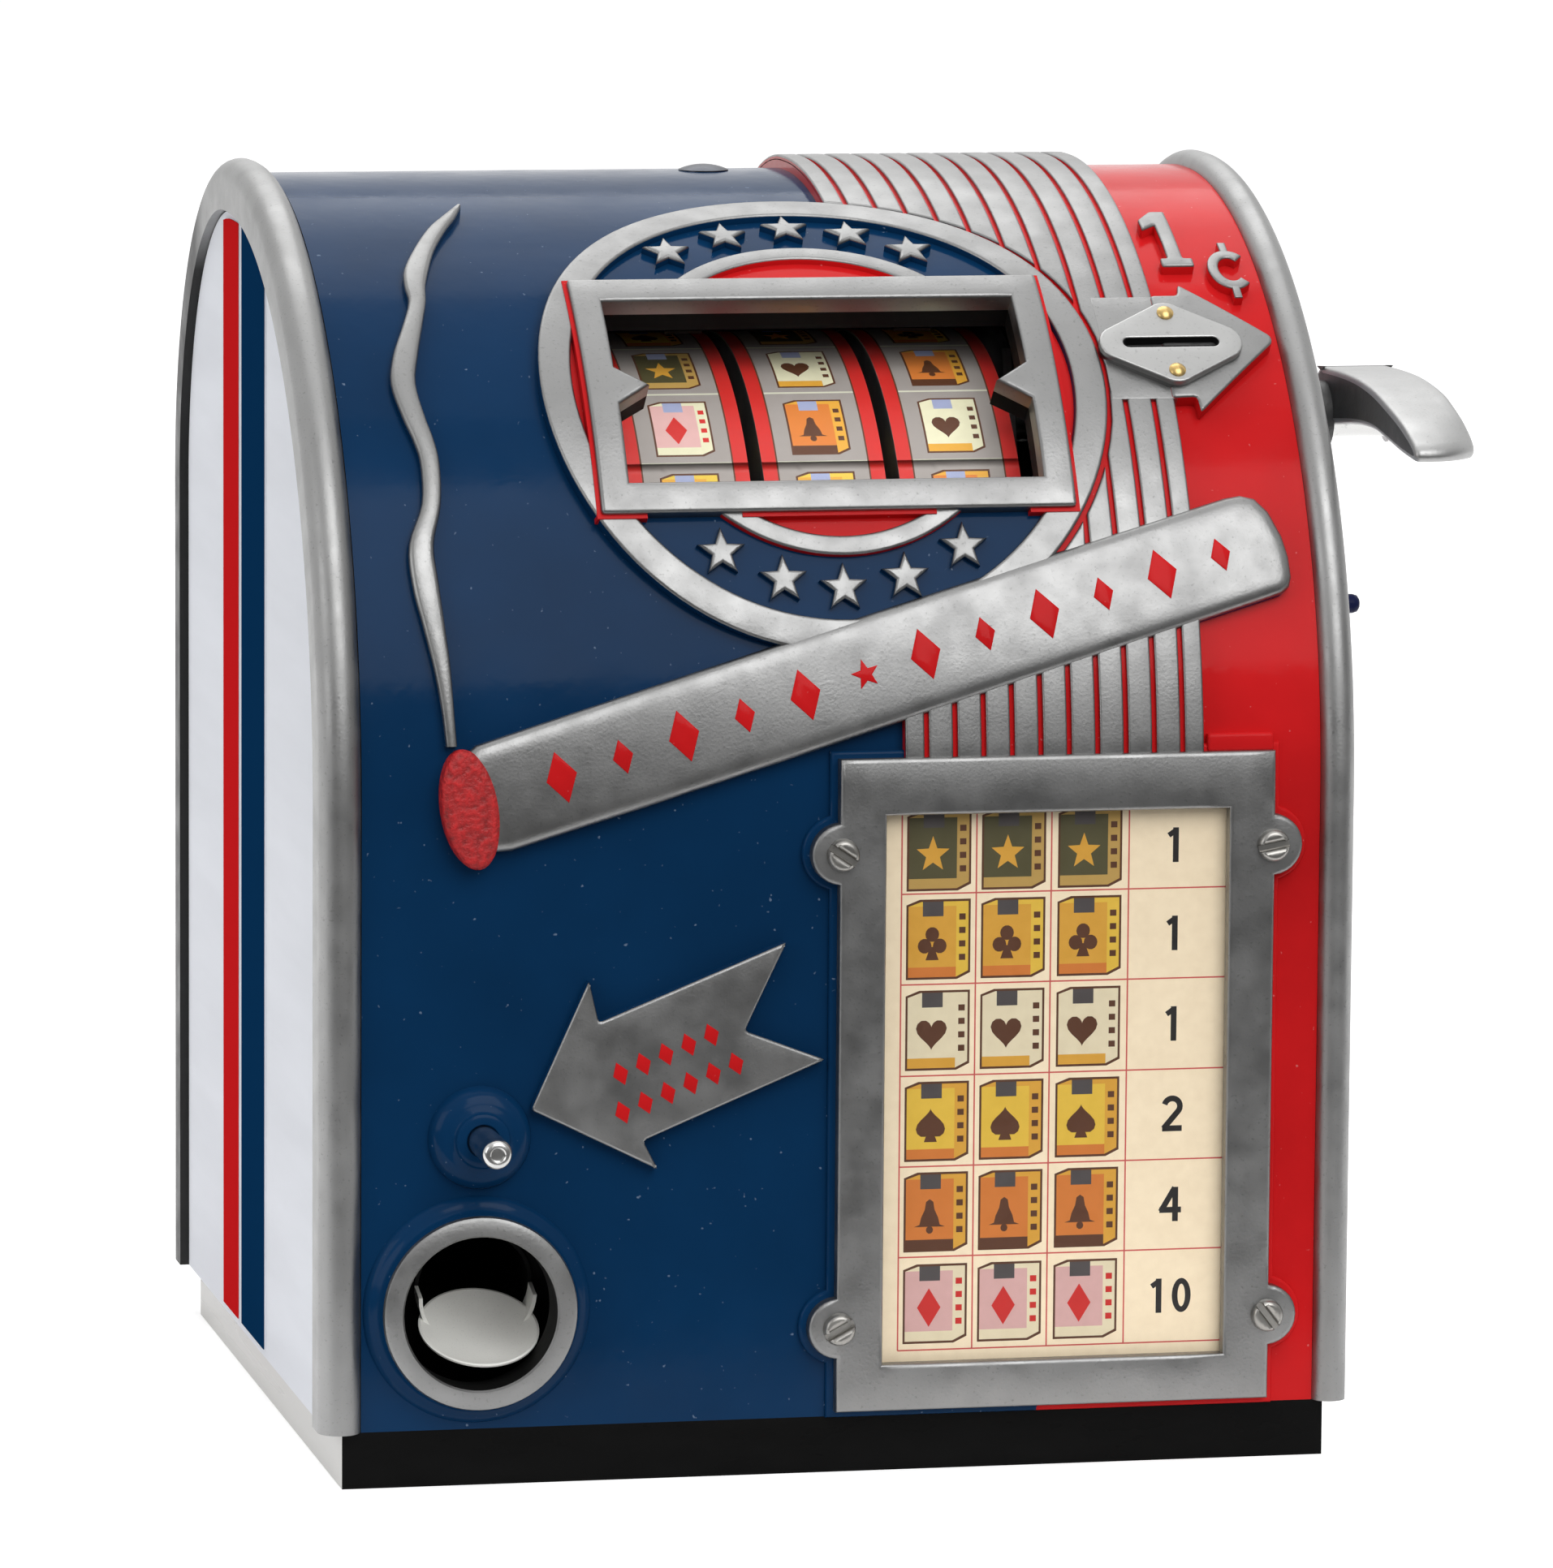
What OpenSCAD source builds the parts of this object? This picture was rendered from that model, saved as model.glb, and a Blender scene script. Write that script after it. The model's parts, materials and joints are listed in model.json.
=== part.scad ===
// Counter-top trade stimulator: a cast hood on a plinth, three reels behind a window,
// a coin slot, a side lever and a gum vender. Millimetres, +Z up, the front faces -Y.
// The origin is on the underside of the plinth, at the middle of its width.

/* [Case] */
// Width of the cast hood between the outer faces of its rims
case_w = 222; // [214:1:240]
// Radius of the front bend of the hood
front_bend = 123; // [118:1:128]
// Radius of the rear bend of the hood
rear_bend = 74; // [72:1:90]
// Length of the flat between the two bends
top_flat = 4; // [3:1:20]
// Height of the upright front, from the table to where the bend starts
upright_h = 143; // [140:1:160]
// Wall of the hood casting
wall = 4; // [3:0.5:5]
// Height of the rounded rims above the hood ground
rim_rise = 3.2; // [2:0.2:4]
// Width of each rim
rim_w = 9; // [8:0.5:10]
// Depth of each rim below the hood ground
rim_in = 8; // [6:0.5:9]
// Depth by which the side panels sit inside the rims
panel_recess = 2; // [1:0.5:4]
// Thickness of the side panels
panel_t = 2.5; // [2:0.5:3]

/* [Plinth] */
// Width of the plinth
plinth_w = 212; // [206:1:220]
// Distance by which the plinth stops short of the back
plinth_short = 6; // [0:1:10]
// Height of the plinth
plinth_h = 12; // [10:1:16]

/* [Relief] */
// Height of the flat reliefs above the hood ground
relief_h = 3; // [2:0.5:3.5]
// Outer radius of the star ring
ring_r = 61; // [58:1:63]
// Width of the reel window opening
window_w = 89; // [86:1:92]
// Height of the reel window opening along the bend
window_h = 46; // [42:1:50]
// Width of the frame bar round the window
window_bar = 6.5; // [5:0.5:8]
// Number of grooves in the striped plate
stripe_count = 10; // [8:1:12]

/* [Reels] */
// Radius of the reel strips
reel_r = 64; // [62:0.5:65]
// Width of each reel
reel_w = 26.4; // [25:0.1:27]
// Distance from reel to reel
reel_pitch = 29.4; // [29.2:0.1:31]
// Number of symbols round each reel
symbol_count = 20; // [16:2:24]
// Diameter of the reel shaft
reel_shaft_d = 8; // [6:0.5:10]

/* [Award card] */
// Width of the award frame
award_w = 94; // [90:1:98]
// Height of the award frame
award_h = 137; // [132:1:140]
// Width of the bar round the card
award_bar = 10; // [8:0.5:12]

/* [Lever] */
// Diameter of the lever shaft
lever_shaft_d = 10; // [8:0.5:12]
// Width of the lever's paddle
paddle_w = 13; // [10:0.5:16]
// Reach of the paddle in front of the shaft
paddle_reach = 82; // [70:1:85]

/* [Gum vender] */
// Diameter of the plunger rod
plunger_d = 6.4; // [5:0.2:8]
// Travel of the plunger
plunger_travel = 8; // [5:0.5:9]
// Diameter of the hole in the gum ring
cup_hole_d = 31; // [29:0.5:33]
// Outer diameter of the gum ring
cup_ring_d = 41; // [39:0.5:42]

/* [Clearances] */
// Radial clearance of shafts that turn
running_gap = 0.05; // [0.02:0.01:0.1]
// Gap between pieces that move past each other
moving_gap = 0.4; // [0.3:0.05:0.6]

/* [Hidden] */
$fn = 64;
eps = 0.01;

case_d = front_bend + top_flat + rear_bend;
plinth_d = case_d - plinth_short;
front = -115;
back = front + case_d;
top_z = upright_h + front_bend;
rear_spring_z = top_z - rear_bend;
front_axis = [front + front_bend, upright_h];
rear_axis = [back - rear_bend, rear_spring_z];
inner_w = case_w - 2 * rim_w;

// Point on the bend at arc length s above the table, raised by h: [y, z]
function bend_angle(s) = (s - upright_h) / front_bend * 180 / PI;
function bend_z(s, h = 0) =
  s <= upright_h ? s : upright_h + (front_bend + h) * sin(bend_angle(s));
function bend_y(s, h = 0) =
  s <= upright_h ? front - h : front_axis[0] - (front_bend + h) * cos(bend_angle(s));

// Solid inside the hood ground raised by h, between two X values
module bend_solid(h, x0, x1) {
  translate([x0, 0, 0]) rotate([90, 0, 90]) linear_extrude(x1 - x0) bend_profile(h);
}
module bend_profile(h) {
  intersection() {
    translate(front_axis) circle(r = front_bend + h, $fn = 128);
    translate([front - h - 1, upright_h]) square([front_bend + h + 1, front_bend + h + 1]);
  }
  intersection() {
    translate(rear_axis) circle(r = rear_bend + h, $fn = 128);
    translate([rear_axis[0], rear_spring_z]) square([rear_bend + h + 1, rear_bend + h + 1]);
  }
  translate([front - h, plinth_h]) square([front_bend + h, upright_h - plinth_h]);
  translate([front_axis[0], plinth_h]) square([top_flat, top_z + h - plinth_h]);
  translate([rear_axis[0], plinth_h]) square([rear_bend + h, rear_spring_z - plinth_h]);
}

// Relief: an outline drawn in X and Z, pushed through the front, kept within h of the ground
module relief(h, sink = 1) {
  intersection() {
    translate([0, front_axis[0], 0]) rotate([90, 0, 0]) linear_extrude(front_bend + h + 1) children();
    difference() {
      bend_solid(h, -inner_w / 2, inner_w / 2);
      bend_solid(-sink, -inner_w / 2 - 1, inner_w / 2 + 1);
    }
  }
}

// Closed outline of a circle laid on the bend, as points in X and Z
ring_s = upright_h + 92;
ring_x = 1.5;
function bend_circle(r, n = 72) =
  [for (i = [0:n - 1]) [ring_x + r * cos(i * 360 / n), bend_z(ring_s + r * sin(i * 360 / n))]];
module bend_box(x, s, w, h) {
  translate([x - w / 2, bend_z(s - h / 2)]) square([w, bend_z(s + h / 2) - bend_z(s - h / 2)]);
}

// Stands children on the hood at X and arc length s: local Z points out of the hood
module at_bend(x, s) {
  tilt = 90 - bend_angle(max(s, upright_h));
  translate([x, bend_y(s), bend_z(s)]) rotate([tilt, 0, 0]) children();
}
// Cylinder along X from x0 to x1 at [y, z]
module x_rod(x0, x1, at, d) {
  translate([x0, at[0], at[1]]) rotate([0, 90, 0]) cylinder(d = d, h = x1 - x0);
}
// Cylinder along Y from y0 to y1 at [x, z]
module y_rod(y0, y1, at, d) {
  translate([at[0], y0, at[1]]) rotate([-90, 0, 0]) cylinder(d = d, h = y1 - y0);
}
// Plate in Y and Z from x0 with thickness t
module x_plate(x0, t) {
  translate([x0, 0, 0]) rotate([90, 0, 90]) linear_extrude(t) children();
}
// Swept round wire through the points, one closed mesh
function unit(v) = v / norm(v);
function wire_axis(p, i) = unit(p[min(i + 1, len(p) - 1)] - p[max(i - 1, 0)]);
module wire(points, d, sides = 6) {
  n = len(points);
  ring = [for (i = [0:n - 1])
    let (t = wire_axis(points, i), u = unit(cross(t, [0.31, 0.17, 0.93])), v = cross(t, u))
    for (k = [0:sides - 1]) points[i] + d / 2 * (cos(k * 360 / sides) * u + sin(k * 360 / sides) * v)];
  side = [for (i = [0:n - 2], k = [0:sides - 1], half = [0, 1])
    let (a = i * sides + k, b = i * sides + (k + 1) % sides)
    half == 0 ? [a, b, a + sides] : [b, b + sides, a + sides]];
  cap0 = [for (k = [1:sides - 2]) [0, k + 1, k]];
  last = (n - 1) * sides;
  cap1 = [for (k = [1:sides - 2]) [last, last + k, last + k + 1]];
  polyhedron(concat(ring), concat(side, cap0, cap1));
}
// Coil along Z from 0 to length; prints the least gap between neighbouring turns
function coil(d, length, turns) =
  [for (i = [0:turns * 8]) [d / 2 * cos(i * 45), d / 2 * sin(i * 45), length * i / (turns * 8)]];
module spring(d, wire_d, length, turns) {
  points = coil(d, length - wire_d, turns);
  gap = min([for (i = [0:len(points) - 9]) norm(points[i + 8] - points[i])]) - wire_d;
  echo(spring_turns = turns, least_gap = gap);
  translate([0, 0, wire_d / 2]) wire(points, wire_d);
}

// Places that several pieces share
window_x = ring_x;
window_s = upright_h + 90.5;
coin_x = inner_w / 2 - 23.5;
coin_s = upright_h + 99.3;
coin_slot = [20.8, 2];
coin_seat = relief_h + 1;
plunger_at = [25 - inner_w / 2, 74];
cup_at = [24.5 - inner_w / 2, 37.5];
cup_rise = 6;
award_x = inner_w / 2 - 56.2;
award_z = plinth_h + 1.5 + award_h / 2;
award_seat = 1.5;
award_screw_z = 50.5;
award_screw_x = award_w / 2 - 0.5;
award_screw_d = 3.5;
screw_head = [7, 2];
stripe_x = [inner_w / 2 - 89, inner_w / 2 - 24.5];
// Where the reels come nearest to the window, and the way from there to their axis
reel_face = [front + 34.8, upright_h + 65.4];
reel_lean = [0.8, -0.6];
reel_axis = reel_face + reel_r * reel_lean;
reel_x = 3.2;
index_r = reel_r - 8;
index_t = 1.2;
lever_axis = [front + 88, upright_h + 71];
sector_r = 38;
pinion_r = 19;
kicker_axis = [lever_axis[0] + 54, lever_axis[1] + 18.25];
stop_drop = 50;
stop_axis = reel_axis + [reel_r, -stop_drop];
return_at = [front + 24, upright_h + 37];
cash_h = 46;
shaft_over = 5;
return_d = 6;
plate_left_x = reel_x - 1.5 * reel_pitch - 7;
plate_right_x = reel_x + 1.5 * reel_pitch + 3;
plate_t = 2;
shaft_x = [plate_left_x - shaft_over, plate_right_x + plate_t + shaft_over];
panel_x = case_w / 2 - panel_recess;
door_w = inner_w - 12;
door_z = [plinth_h + 6, rear_spring_z - 6];
door_t = 1.6;

// Base
module plinth() {
  color("#151515") difference() {
    translate([-plinth_w / 2, front, 0]) cube([plinth_w, plinth_d, plinth_h]);
    for (p = case_screw_places()) translate([p[0], p[1], -eps]) {
      cylinder(d = case_screw_d + 2 * running_gap, h = plinth_h + 1);
      cylinder(d = case_screw_head[0] + 1, h = case_screw_head[1] + 1);
    }
    for (x = [plate_left_x, plate_right_x], y = mech_foot_y) translate([x + foot_side(x), y, 1])
      cylinder(d = mech_screw_d, h = plinth_h);
  }
}
case_screw_d = 5;
case_screw_head = [9, 3];
case_lug = [12, 18, 12];
lug_sink = 1;
lug_in = wall + case_lug[1] / 2 - lug_sink;
function case_screw_places() =
  [for (x = [-1, 1], y = [front + lug_in, back - lug_in]) [x * (inner_w / 2 - case_lug[0]), y]];
module case_screws() {
  color("silver") for (p = case_screw_places()) translate([p[0], p[1], 1]) {
    cylinder(d = case_screw_head[0], h = case_screw_head[1]);
    cylinder(d = case_screw_d, h = plinth_h + 8);
  }
}

// Cross-section of a rim: X measured from its outer face, second value is the height
module rim_section(base) {
  nose = base + rim_rise - rim_w / 2;
  translate([-rim_w, base - rim_in]) square([rim_w, rim_in + nose - base]);
  intersection() {
    translate([-rim_w / 2, nose]) circle(d = rim_w);
    translate([-rim_w - 1, nose]) square([rim_w + 2, rim_w]);
  }
}
module rim_bend(axis, r, turn) {
  translate([case_w / 2, axis[0], axis[1]]) rotate([0, 90, 0]) rotate([0, 0, turn])
    rotate_extrude(angle = 90, $fn = 128) rotate(90) mirror([0, 1]) rim_section(r);
}
module rim() {
  translate([case_w / 2, front, plinth_h]) linear_extrude(upright_h - plinth_h)
    mirror([0, 1]) rim_section(0);
  rim_bend(front_axis, front_bend, 180);
  translate([case_w / 2, front_axis[0], top_z]) rotate([90, 0, 0]) mirror([0, 0, 1])
    linear_extrude(top_flat) rim_section(0);
  rim_bend(rear_axis, rear_bend, 90);
  translate([case_w / 2, back, plinth_h]) linear_extrude(rear_spring_z - plinth_h) rim_section(0);
}

// Outlines of the reliefs
banner_rise = 4;
// Corners of the slanted banner: X and arc length above the start of the bend
banner = [[-86.5, 6], [-86.5, -6], [-81, -12.5], [-71, -8.5], [94, 40.5], [97.5, 47], [96.5, 59],
  [91, 63.5], [-79, 13]];
// Corners of the arrow plate: X and Z
arrow = [[-39, 66.5], [-42.5, 72.5], [-3, 89], [-21, 95.5], [-12, 114], [-52, 98], [-54, 107], [-66.5, 80]];
// Spine of the smoke ribbon: X, arc length above the start of the bend, half width
smoke = [[-67.5, 152, 0.6], [-72, 141, 1.6], [-76, 132, 1.5], [-82.5, 122, 2.6], [-85, 111, 2.4],
  [-85.5, 102, 1.4], [-89, 91, 2.4], [-89, 79, 2.6], [-86.5, 68, 2], [-87, 57, 2.2], [-90, 47, 2.4],
  [-87.5, 35, 2], [-84.5, 27, 1.3], [-83, 14, 1.2]];
function on_front(points) = [for (p = points) [p[0], bend_z(upright_h + p[1])]];
function ribbon(points) = on_front(concat(
  [for (p = points) [p[0] - p[2], p[1]]],
  [for (i = [len(points) - 1:-1:0]) [points[i][0] + points[i][2], points[i][1]]]));

// Ground plate with red grooves that runs over the top of the hood
groove = [1.3, 1];
module striped_plate() {
  pitch = (stripe_x[1] - stripe_x[0]) / stripe_count;
  difference() {
    bend_solid(relief_h, stripe_x[0], stripe_x[1]);
    bend_solid(-1, stripe_x[0] - 1, stripe_x[1] + 1);
    translate([stripe_x[0] - 1, front - 20, 0])
      cube([stripe_x[1] - stripe_x[0] + 2, 40, award_z + award_h / 2]);
    for (i = [0.5:stripe_count - 0.5]) difference() {
      x = stripe_x[0] + i * pitch;
      bend_solid(relief_h + 1, x - groove[0] / 2, x + groove[0] / 2);
      bend_solid(relief_h - groove[1], x - groove[0], x + groove[0]);
    }
    translate([stripe_x[0] - 1, back - wall, 0])
      cube([stripe_x[1] - stripe_x[0] + 2, 40, rear_spring_z]);
  }
}
module star_ring() {
  band = [54, 40];
  difference() {
    relief(relief_h + 0.4) polygon(bend_circle(ring_r));
    relief(relief_h + 1, -relief_h + 1.4) difference() {
      polygon(bend_circle(band[0]));
      polygon(bend_circle(band[1]));
    }
  }
}
frame_w = window_w + 2 * window_bar;
frame_h = window_h + 2 * window_bar;
window_rise = 5;
pointer = [7, 9];
module window_opening() {
  difference() {
    bend_box(window_x, window_s, window_w, window_h);
    for (side = [-1, 1]) translate([window_x + side * window_w / 2, bend_z(window_s)])
      polygon([[side, -pointer[1] / 2], [-side * pointer[0], 0], [side, pointer[1] / 2]]);
  }
}
module ear_bosses(d) {
  for (x = [-1, 1], z = [-1, 1])
    translate([award_x + x * award_screw_x, award_z + z * award_screw_z]) circle(d = d);
}
award_ear_d = 13;
module hood() {
  color("#1d3f73") difference() {
    union() {
      difference() {
        bend_solid(0, -inner_w / 2, inner_w / 2);
        translate([0, 0, -eps]) bend_solid(-wall, -inner_w / 2 - 1, inner_w / 2 + 1);
        translate([0, 0, -1]) bend_solid(-wall, -inner_w / 2 - 1, inner_w / 2 + 1);
      }
      rim();
      mirror([1, 0, 0]) rim();
      striped_plate();
      star_ring();
      relief(window_rise) bend_box(window_x, window_s, frame_w, frame_h);
      relief(banner_rise) polygon(on_front(banner));
      relief(relief_h) polygon(arrow);
      relief(relief_h - 0.5) polygon(ribbon(smoke));
      relief(award_seat) ear_bosses(award_ear_d + 4);
      relief(award_seat) translate([award_x - award_w / 2, award_z - award_h / 2]) square([award_w, award_h]);
      at_bend(coin_x, coin_s) translate([0, 0, -wall]) coin_outline(coin_seat + wall, 3);
      y_rod(front - cup_rise, front + 1, cup_at, cup_ring_d);
      y_rod(front - 2, front + 1, cup_at, cup_ring_d + 5);
      plunger_boss();
      for (p = case_screw_places()) translate([p[0] - case_lug[0] / 2, p[1] - case_lug[1] / 2, plinth_h])
        cube(case_lug);
      translate([-inner_w / 2, back - wall, plinth_h]) cube([inner_w, wall, door_z[0] - plinth_h]);
    }
    translate([0, front_axis[0], 0]) rotate([90, 0, 0]) linear_extrude(front_bend + 20) window_opening();
    at_bend(coin_x, coin_s) translate([0, 0, -wall * 2])
      linear_extrude(wall * 2 + coin_seat + 1) square(coin_slot, center = true);
    at_bend(coin_x, coin_s) for (y = [-1, 1]) translate([0, y * coin_pin_y, coin_seat - coin_pin_l])
      cylinder(d = coin_pin_d, h = coin_pin_l + 1);
    y_rod(front - cup_rise - 1, front + wall + 1, cup_at, cup_hole_d);
    y_rod(front - 20, front + 20, plunger_at, plunger_d + 2 * running_gap);
    translate([-door_w / 2, back - wall - 1, door_z[0]]) cube([door_w, wall + 20, door_z[1] - door_z[0]]);
    translate([award_x - card_w / 2, front - award_seat - 1, award_z - card_h / 2])
      cube([card_w, award_seat + 1 + card_seat, card_h]);
    for (x = [-1, 1], z = [-1, 1]) y_rod(front - 10, front + 2 * wall,
      [award_x + x * award_screw_x, award_z + z * award_screw_z], award_screw_d);
    for (p = case_screw_places()) translate([p[0], p[1], plinth_h - 1]) cylinder(d = case_screw_d, h = 10.5);
    translate([top_screw_at[0], top_screw_at[1], top_z - wall - 1]) cylinder(d = top_screw_d, h = wall + 2);
  }
}
module plunger_boss() {
  translate([plunger_at[0], front + 1, plunger_at[1]]) rotate([90, 0, 0]) {
    cylinder(d1 = 21, d2 = 17, h = 4);
    cylinder(d = 11, h = 6);
  }
}

// Side panels, set inside the rims
panel_gap = 0.3;
module side_plate(x0) {
  x_plate(x0, panel_t) intersection() {
    bend_profile(-rim_in - panel_gap);
    translate([-case_d, plinth_h]) square([2 * case_d, top_z]);
  }
}
// Painted bands on the sides: distance from the front, width
side_bands = [[82, 30.5], [117.5, 20.5]];
band_rise = 0.6;
module bands(x0) {
  x_plate(x0, band_rise + eps) intersection() {
    bend_profile(-rim_in - 2);
    for (b = side_bands) translate([front + b[0], plinth_h + 2]) square([b[1], top_z]);
  }
}
module left_side() {
  color("white") {
    side_plate(-panel_x);
    bands(-panel_x - band_rise);
  }
}
module right_side() {
  color("white") difference() {
    union() {
      side_plate(panel_x - panel_t);
      bands(panel_x - eps);
      button_bracket();
    }
    x_rod(panel_x - 10, panel_x + 10, lever_axis, lever_bush_d);
    x_rod(panel_x - panel_t - 1, panel_x + 10, return_at, return_d + 2 * moving_gap);
  }
}
top_screw_at = [-5, front_axis[0] + top_flat / 2];
top_screw_d = 6;
module top_screw() {
  color("#333333") translate([top_screw_at[0], top_screw_at[1], top_z]) {
    intersection() {
      cylinder(d = 11, h = 1.4);
      translate([0, 0, -12]) sphere(d = 26.8);
    }
    translate([0, 0, -10]) cylinder(d = top_screw_d, h = 10 + eps);
  }
}

// Reel window
glass_t = 2;
glass_lap = 4;
glass_r = (front_bend - wall) * cos((window_h / 2 + glass_lap) / front_bend * 180 / PI) - 0.1;
module window_glass() {
  color([0.8, 0.9, 0.9, 0.3]) at_bend(window_x, window_s)
    translate([0, 0, glass_r - front_bend - glass_t]) linear_extrude(glass_t)
    square([window_w + 2 * glass_lap - 2, window_h + 2 * glass_lap - 3], center = true);
}
clip = [8, 10, 1];
module glass_clips() {
  color("silver") at_bend(window_x, window_s) for (side = [-1, 1], x = [-25, 25])
    translate([x, side * (window_h / 2 + glass_lap + 2), glass_r - front_bend - glass_t - clip[2] / 2])
      cube(clip, center = true);
}

// Award card, its glass and the frame that four screws hold
card_w = award_w - 2 * award_bar + 8;
card_h = award_h - 2 * award_bar + 8;
card_t = 0.6;
card_seat = 0.2;
award_rise = 4.5;
frame_back = front - award_seat;
module award_card() {
  color("#efe3bd") translate([award_x - card_w / 2, front + card_seat - card_t, award_z - card_h / 2])
    cube([card_w, card_t, card_h]);
}
module award_glass() {
  color([0.85, 0.92, 0.9, 0.25])
    translate([award_x - card_w / 2, frame_back, award_z - card_h / 2])
    cube([card_w, award_seat + card_seat - card_t, card_h]);
}
module award_frame() {
  color("#a9a9a6") difference() {
    translate([0, frame_back, 0]) rotate([90, 0, 0]) linear_extrude(award_rise - award_seat) difference() {
      union() {
        translate([award_x - award_w / 2, award_z - award_h / 2]) square([award_w, award_h]);
        ear_bosses(award_ear_d);
      }
      translate([award_x - award_w / 2 + award_bar, award_z - award_h / 2 + award_bar])
        square([award_w - 2 * award_bar, award_h - 2 * award_bar]);
    }
    for (x = [-1, 1], z = [-1, 1]) y_rod(front - 10, front,
      [award_x + x * award_screw_x, award_z + z * award_screw_z], award_screw_d + 2 * running_gap);
  }
}
module award_screws() {
  color("#c9c6bd") for (x = [-1, 1], z = [-1, 1])
    translate([award_x + x * award_screw_x, front - award_rise, award_z + z * award_screw_z])
    rotate([90, 20 * x + 35 * z, 0]) slotted_screw(screw_head, award_screw_d, award_rise + wall);
}
// Head on the +Z side of the origin, shank below it
module slotted_screw(head, d, shank) {
  difference() {
    union() {
      cylinder(d = head[0], h = head[1]);
      translate([0, 0, -shank]) cylinder(d = d, h = shank + eps);
    }
    translate([-head[0], -0.6, head[1] / 2]) cube([2 * head[0], 1.2, head[1]]);
  }
}

// Coin entry
coin_plate_size = [31, 21];
coin_plate_t = 1.4;
coin_pin_d = 2;
coin_pin_y = 8;
coin_pin_l = 5;
// Diamond with round corners, standing h high, widened by margin
module coin_outline(h, margin) {
  w = coin_plate_size[0] / 2 + margin - 3;
  v = coin_plate_size[1] / 2 + margin - 3;
  linear_extrude(h) union() {
    polygon([[-2.2, -v - 2], [2.2, -v - 2], [w + 1.5, -2.6], [w + 1.5, 2.6], [2.2, v + 2], [-2.2, v + 2],
      [-w - 1.5, 2.6], [-w - 1.5, -2.6]]);
    for (x = [-w, w]) translate([x, 0]) circle(r = 3);
    for (y = [-v, v]) translate([0, y]) circle(r = 3);
  }
}
module coin_plate() {
  color("#b9b7b2") at_bend(coin_x, coin_s) translate([0, 0, coin_seat]) difference() {
    coin_outline(coin_plate_t, 0);
    translate([0, 0, -1]) linear_extrude(coin_plate_t + 2) square(coin_slot, center = true);
    for (y = [-1, 1]) translate([0, y * coin_pin_y, -1]) cylinder(d = coin_pin_d, h = coin_plate_t + 2);
  }
}
module coin_plate_pins() {
  color("#b08d3c") at_bend(coin_x, coin_s) for (y = [-1, 1])
    translate([0, y * coin_pin_y, coin_seat + coin_plate_t]) {
      intersection() {
        cylinder(d = 3.6, h = 1);
        translate([0, 0, -1.5]) sphere(d = 5);
      }
      translate([0, 0, -coin_pin_l - coin_plate_t])
        cylinder(d = coin_pin_d, h = coin_pin_l + coin_plate_t + eps);
    }
}
// Flat channel that takes the coin from the slot to the cash box: a slanted throat and an upright run
chute_t = 1;
chute_in = [coin_slot[0] + 2, 4];
throat_in = [coin_slot[0] + 1, 4];
chute_y = front + 52;
throat_gap = 0.3;
throat_depth = (chute_y - bend_y(coin_s)) / cos(bend_angle(coin_s));
chute_top = bend_z(coin_s) - throat_depth * sin(bend_angle(coin_s)) + chute_in[1] / 2 + chute_t;
chute_z = [plinth_h + cash_h + 8, chute_top];
chute_lug = [16, 8];
chute_lug_z = [chute_z[0] + 20, chute_z[0] + 88];
// Room of the channel, grown by t on its sides and at its closed ends, and by over at its open ends
module chute_run(t, over) {
  translate([coin_x, chute_y, chute_z[0] - over])
    linear_extrude(chute_z[1] - chute_z[0] + over - chute_t + t) square(chute_in + 2 * [t, t], center = true);
  at_bend(coin_x, coin_s) translate([0, 0, -throat_depth])
    linear_extrude(throat_depth - wall - throat_gap + over) square(throat_in + 2 * [t, t], center = true);
}
module coin_chute() {
  color("#b5b8ba") difference() {
    union() {
      chute_run(chute_t, 0);
      for (z = chute_lug_z) translate([plate_right_x + plate_t, chute_y + chute_in[1] / 2, z]) {
        cube([coin_x - plate_right_x - plate_t, chute_t, chute_lug[1]]);
        cube([chute_t, chute_lug[0], chute_lug[1]]);
      }
    }
    chute_run(0, 1);
  }
}

// Coin return button on the right side, with its spring
button_stem = [3, 17];
module coin_return_button() {
  color("#232a4a") {
    x_rod(panel_x - panel_t, panel_x + 9, return_at, return_d);
    x_rod(panel_x - panel_t - button_stem[1], panel_x - panel_t + eps, return_at, button_stem[0]);
  }
}
bracket_t = 1.2;
bracket_x = panel_x - panel_t - 14;
module button_bracket() {
  translate([bracket_x, return_at[0] + 5, return_at[1] - 4]) cube([14 + eps, bracket_t, 8]);
  difference() {
    translate([bracket_x, return_at[0] - 4, return_at[1] - 4]) cube([bracket_t, 9 + bracket_t, 8]);
    x_rod(bracket_x - 1, bracket_x + 3, return_at, button_stem[0] + 2 * moving_gap);
  }
}
module button_spring() {
  room = 14 - bracket_t - 2 * moving_gap;
  color("silver") translate([bracket_x + bracket_t + moving_gap, return_at[0], return_at[1]])
    rotate([0, 90, 0]) spring(button_stem[0] + 1.6, 0.5, room, 8);
}

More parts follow.
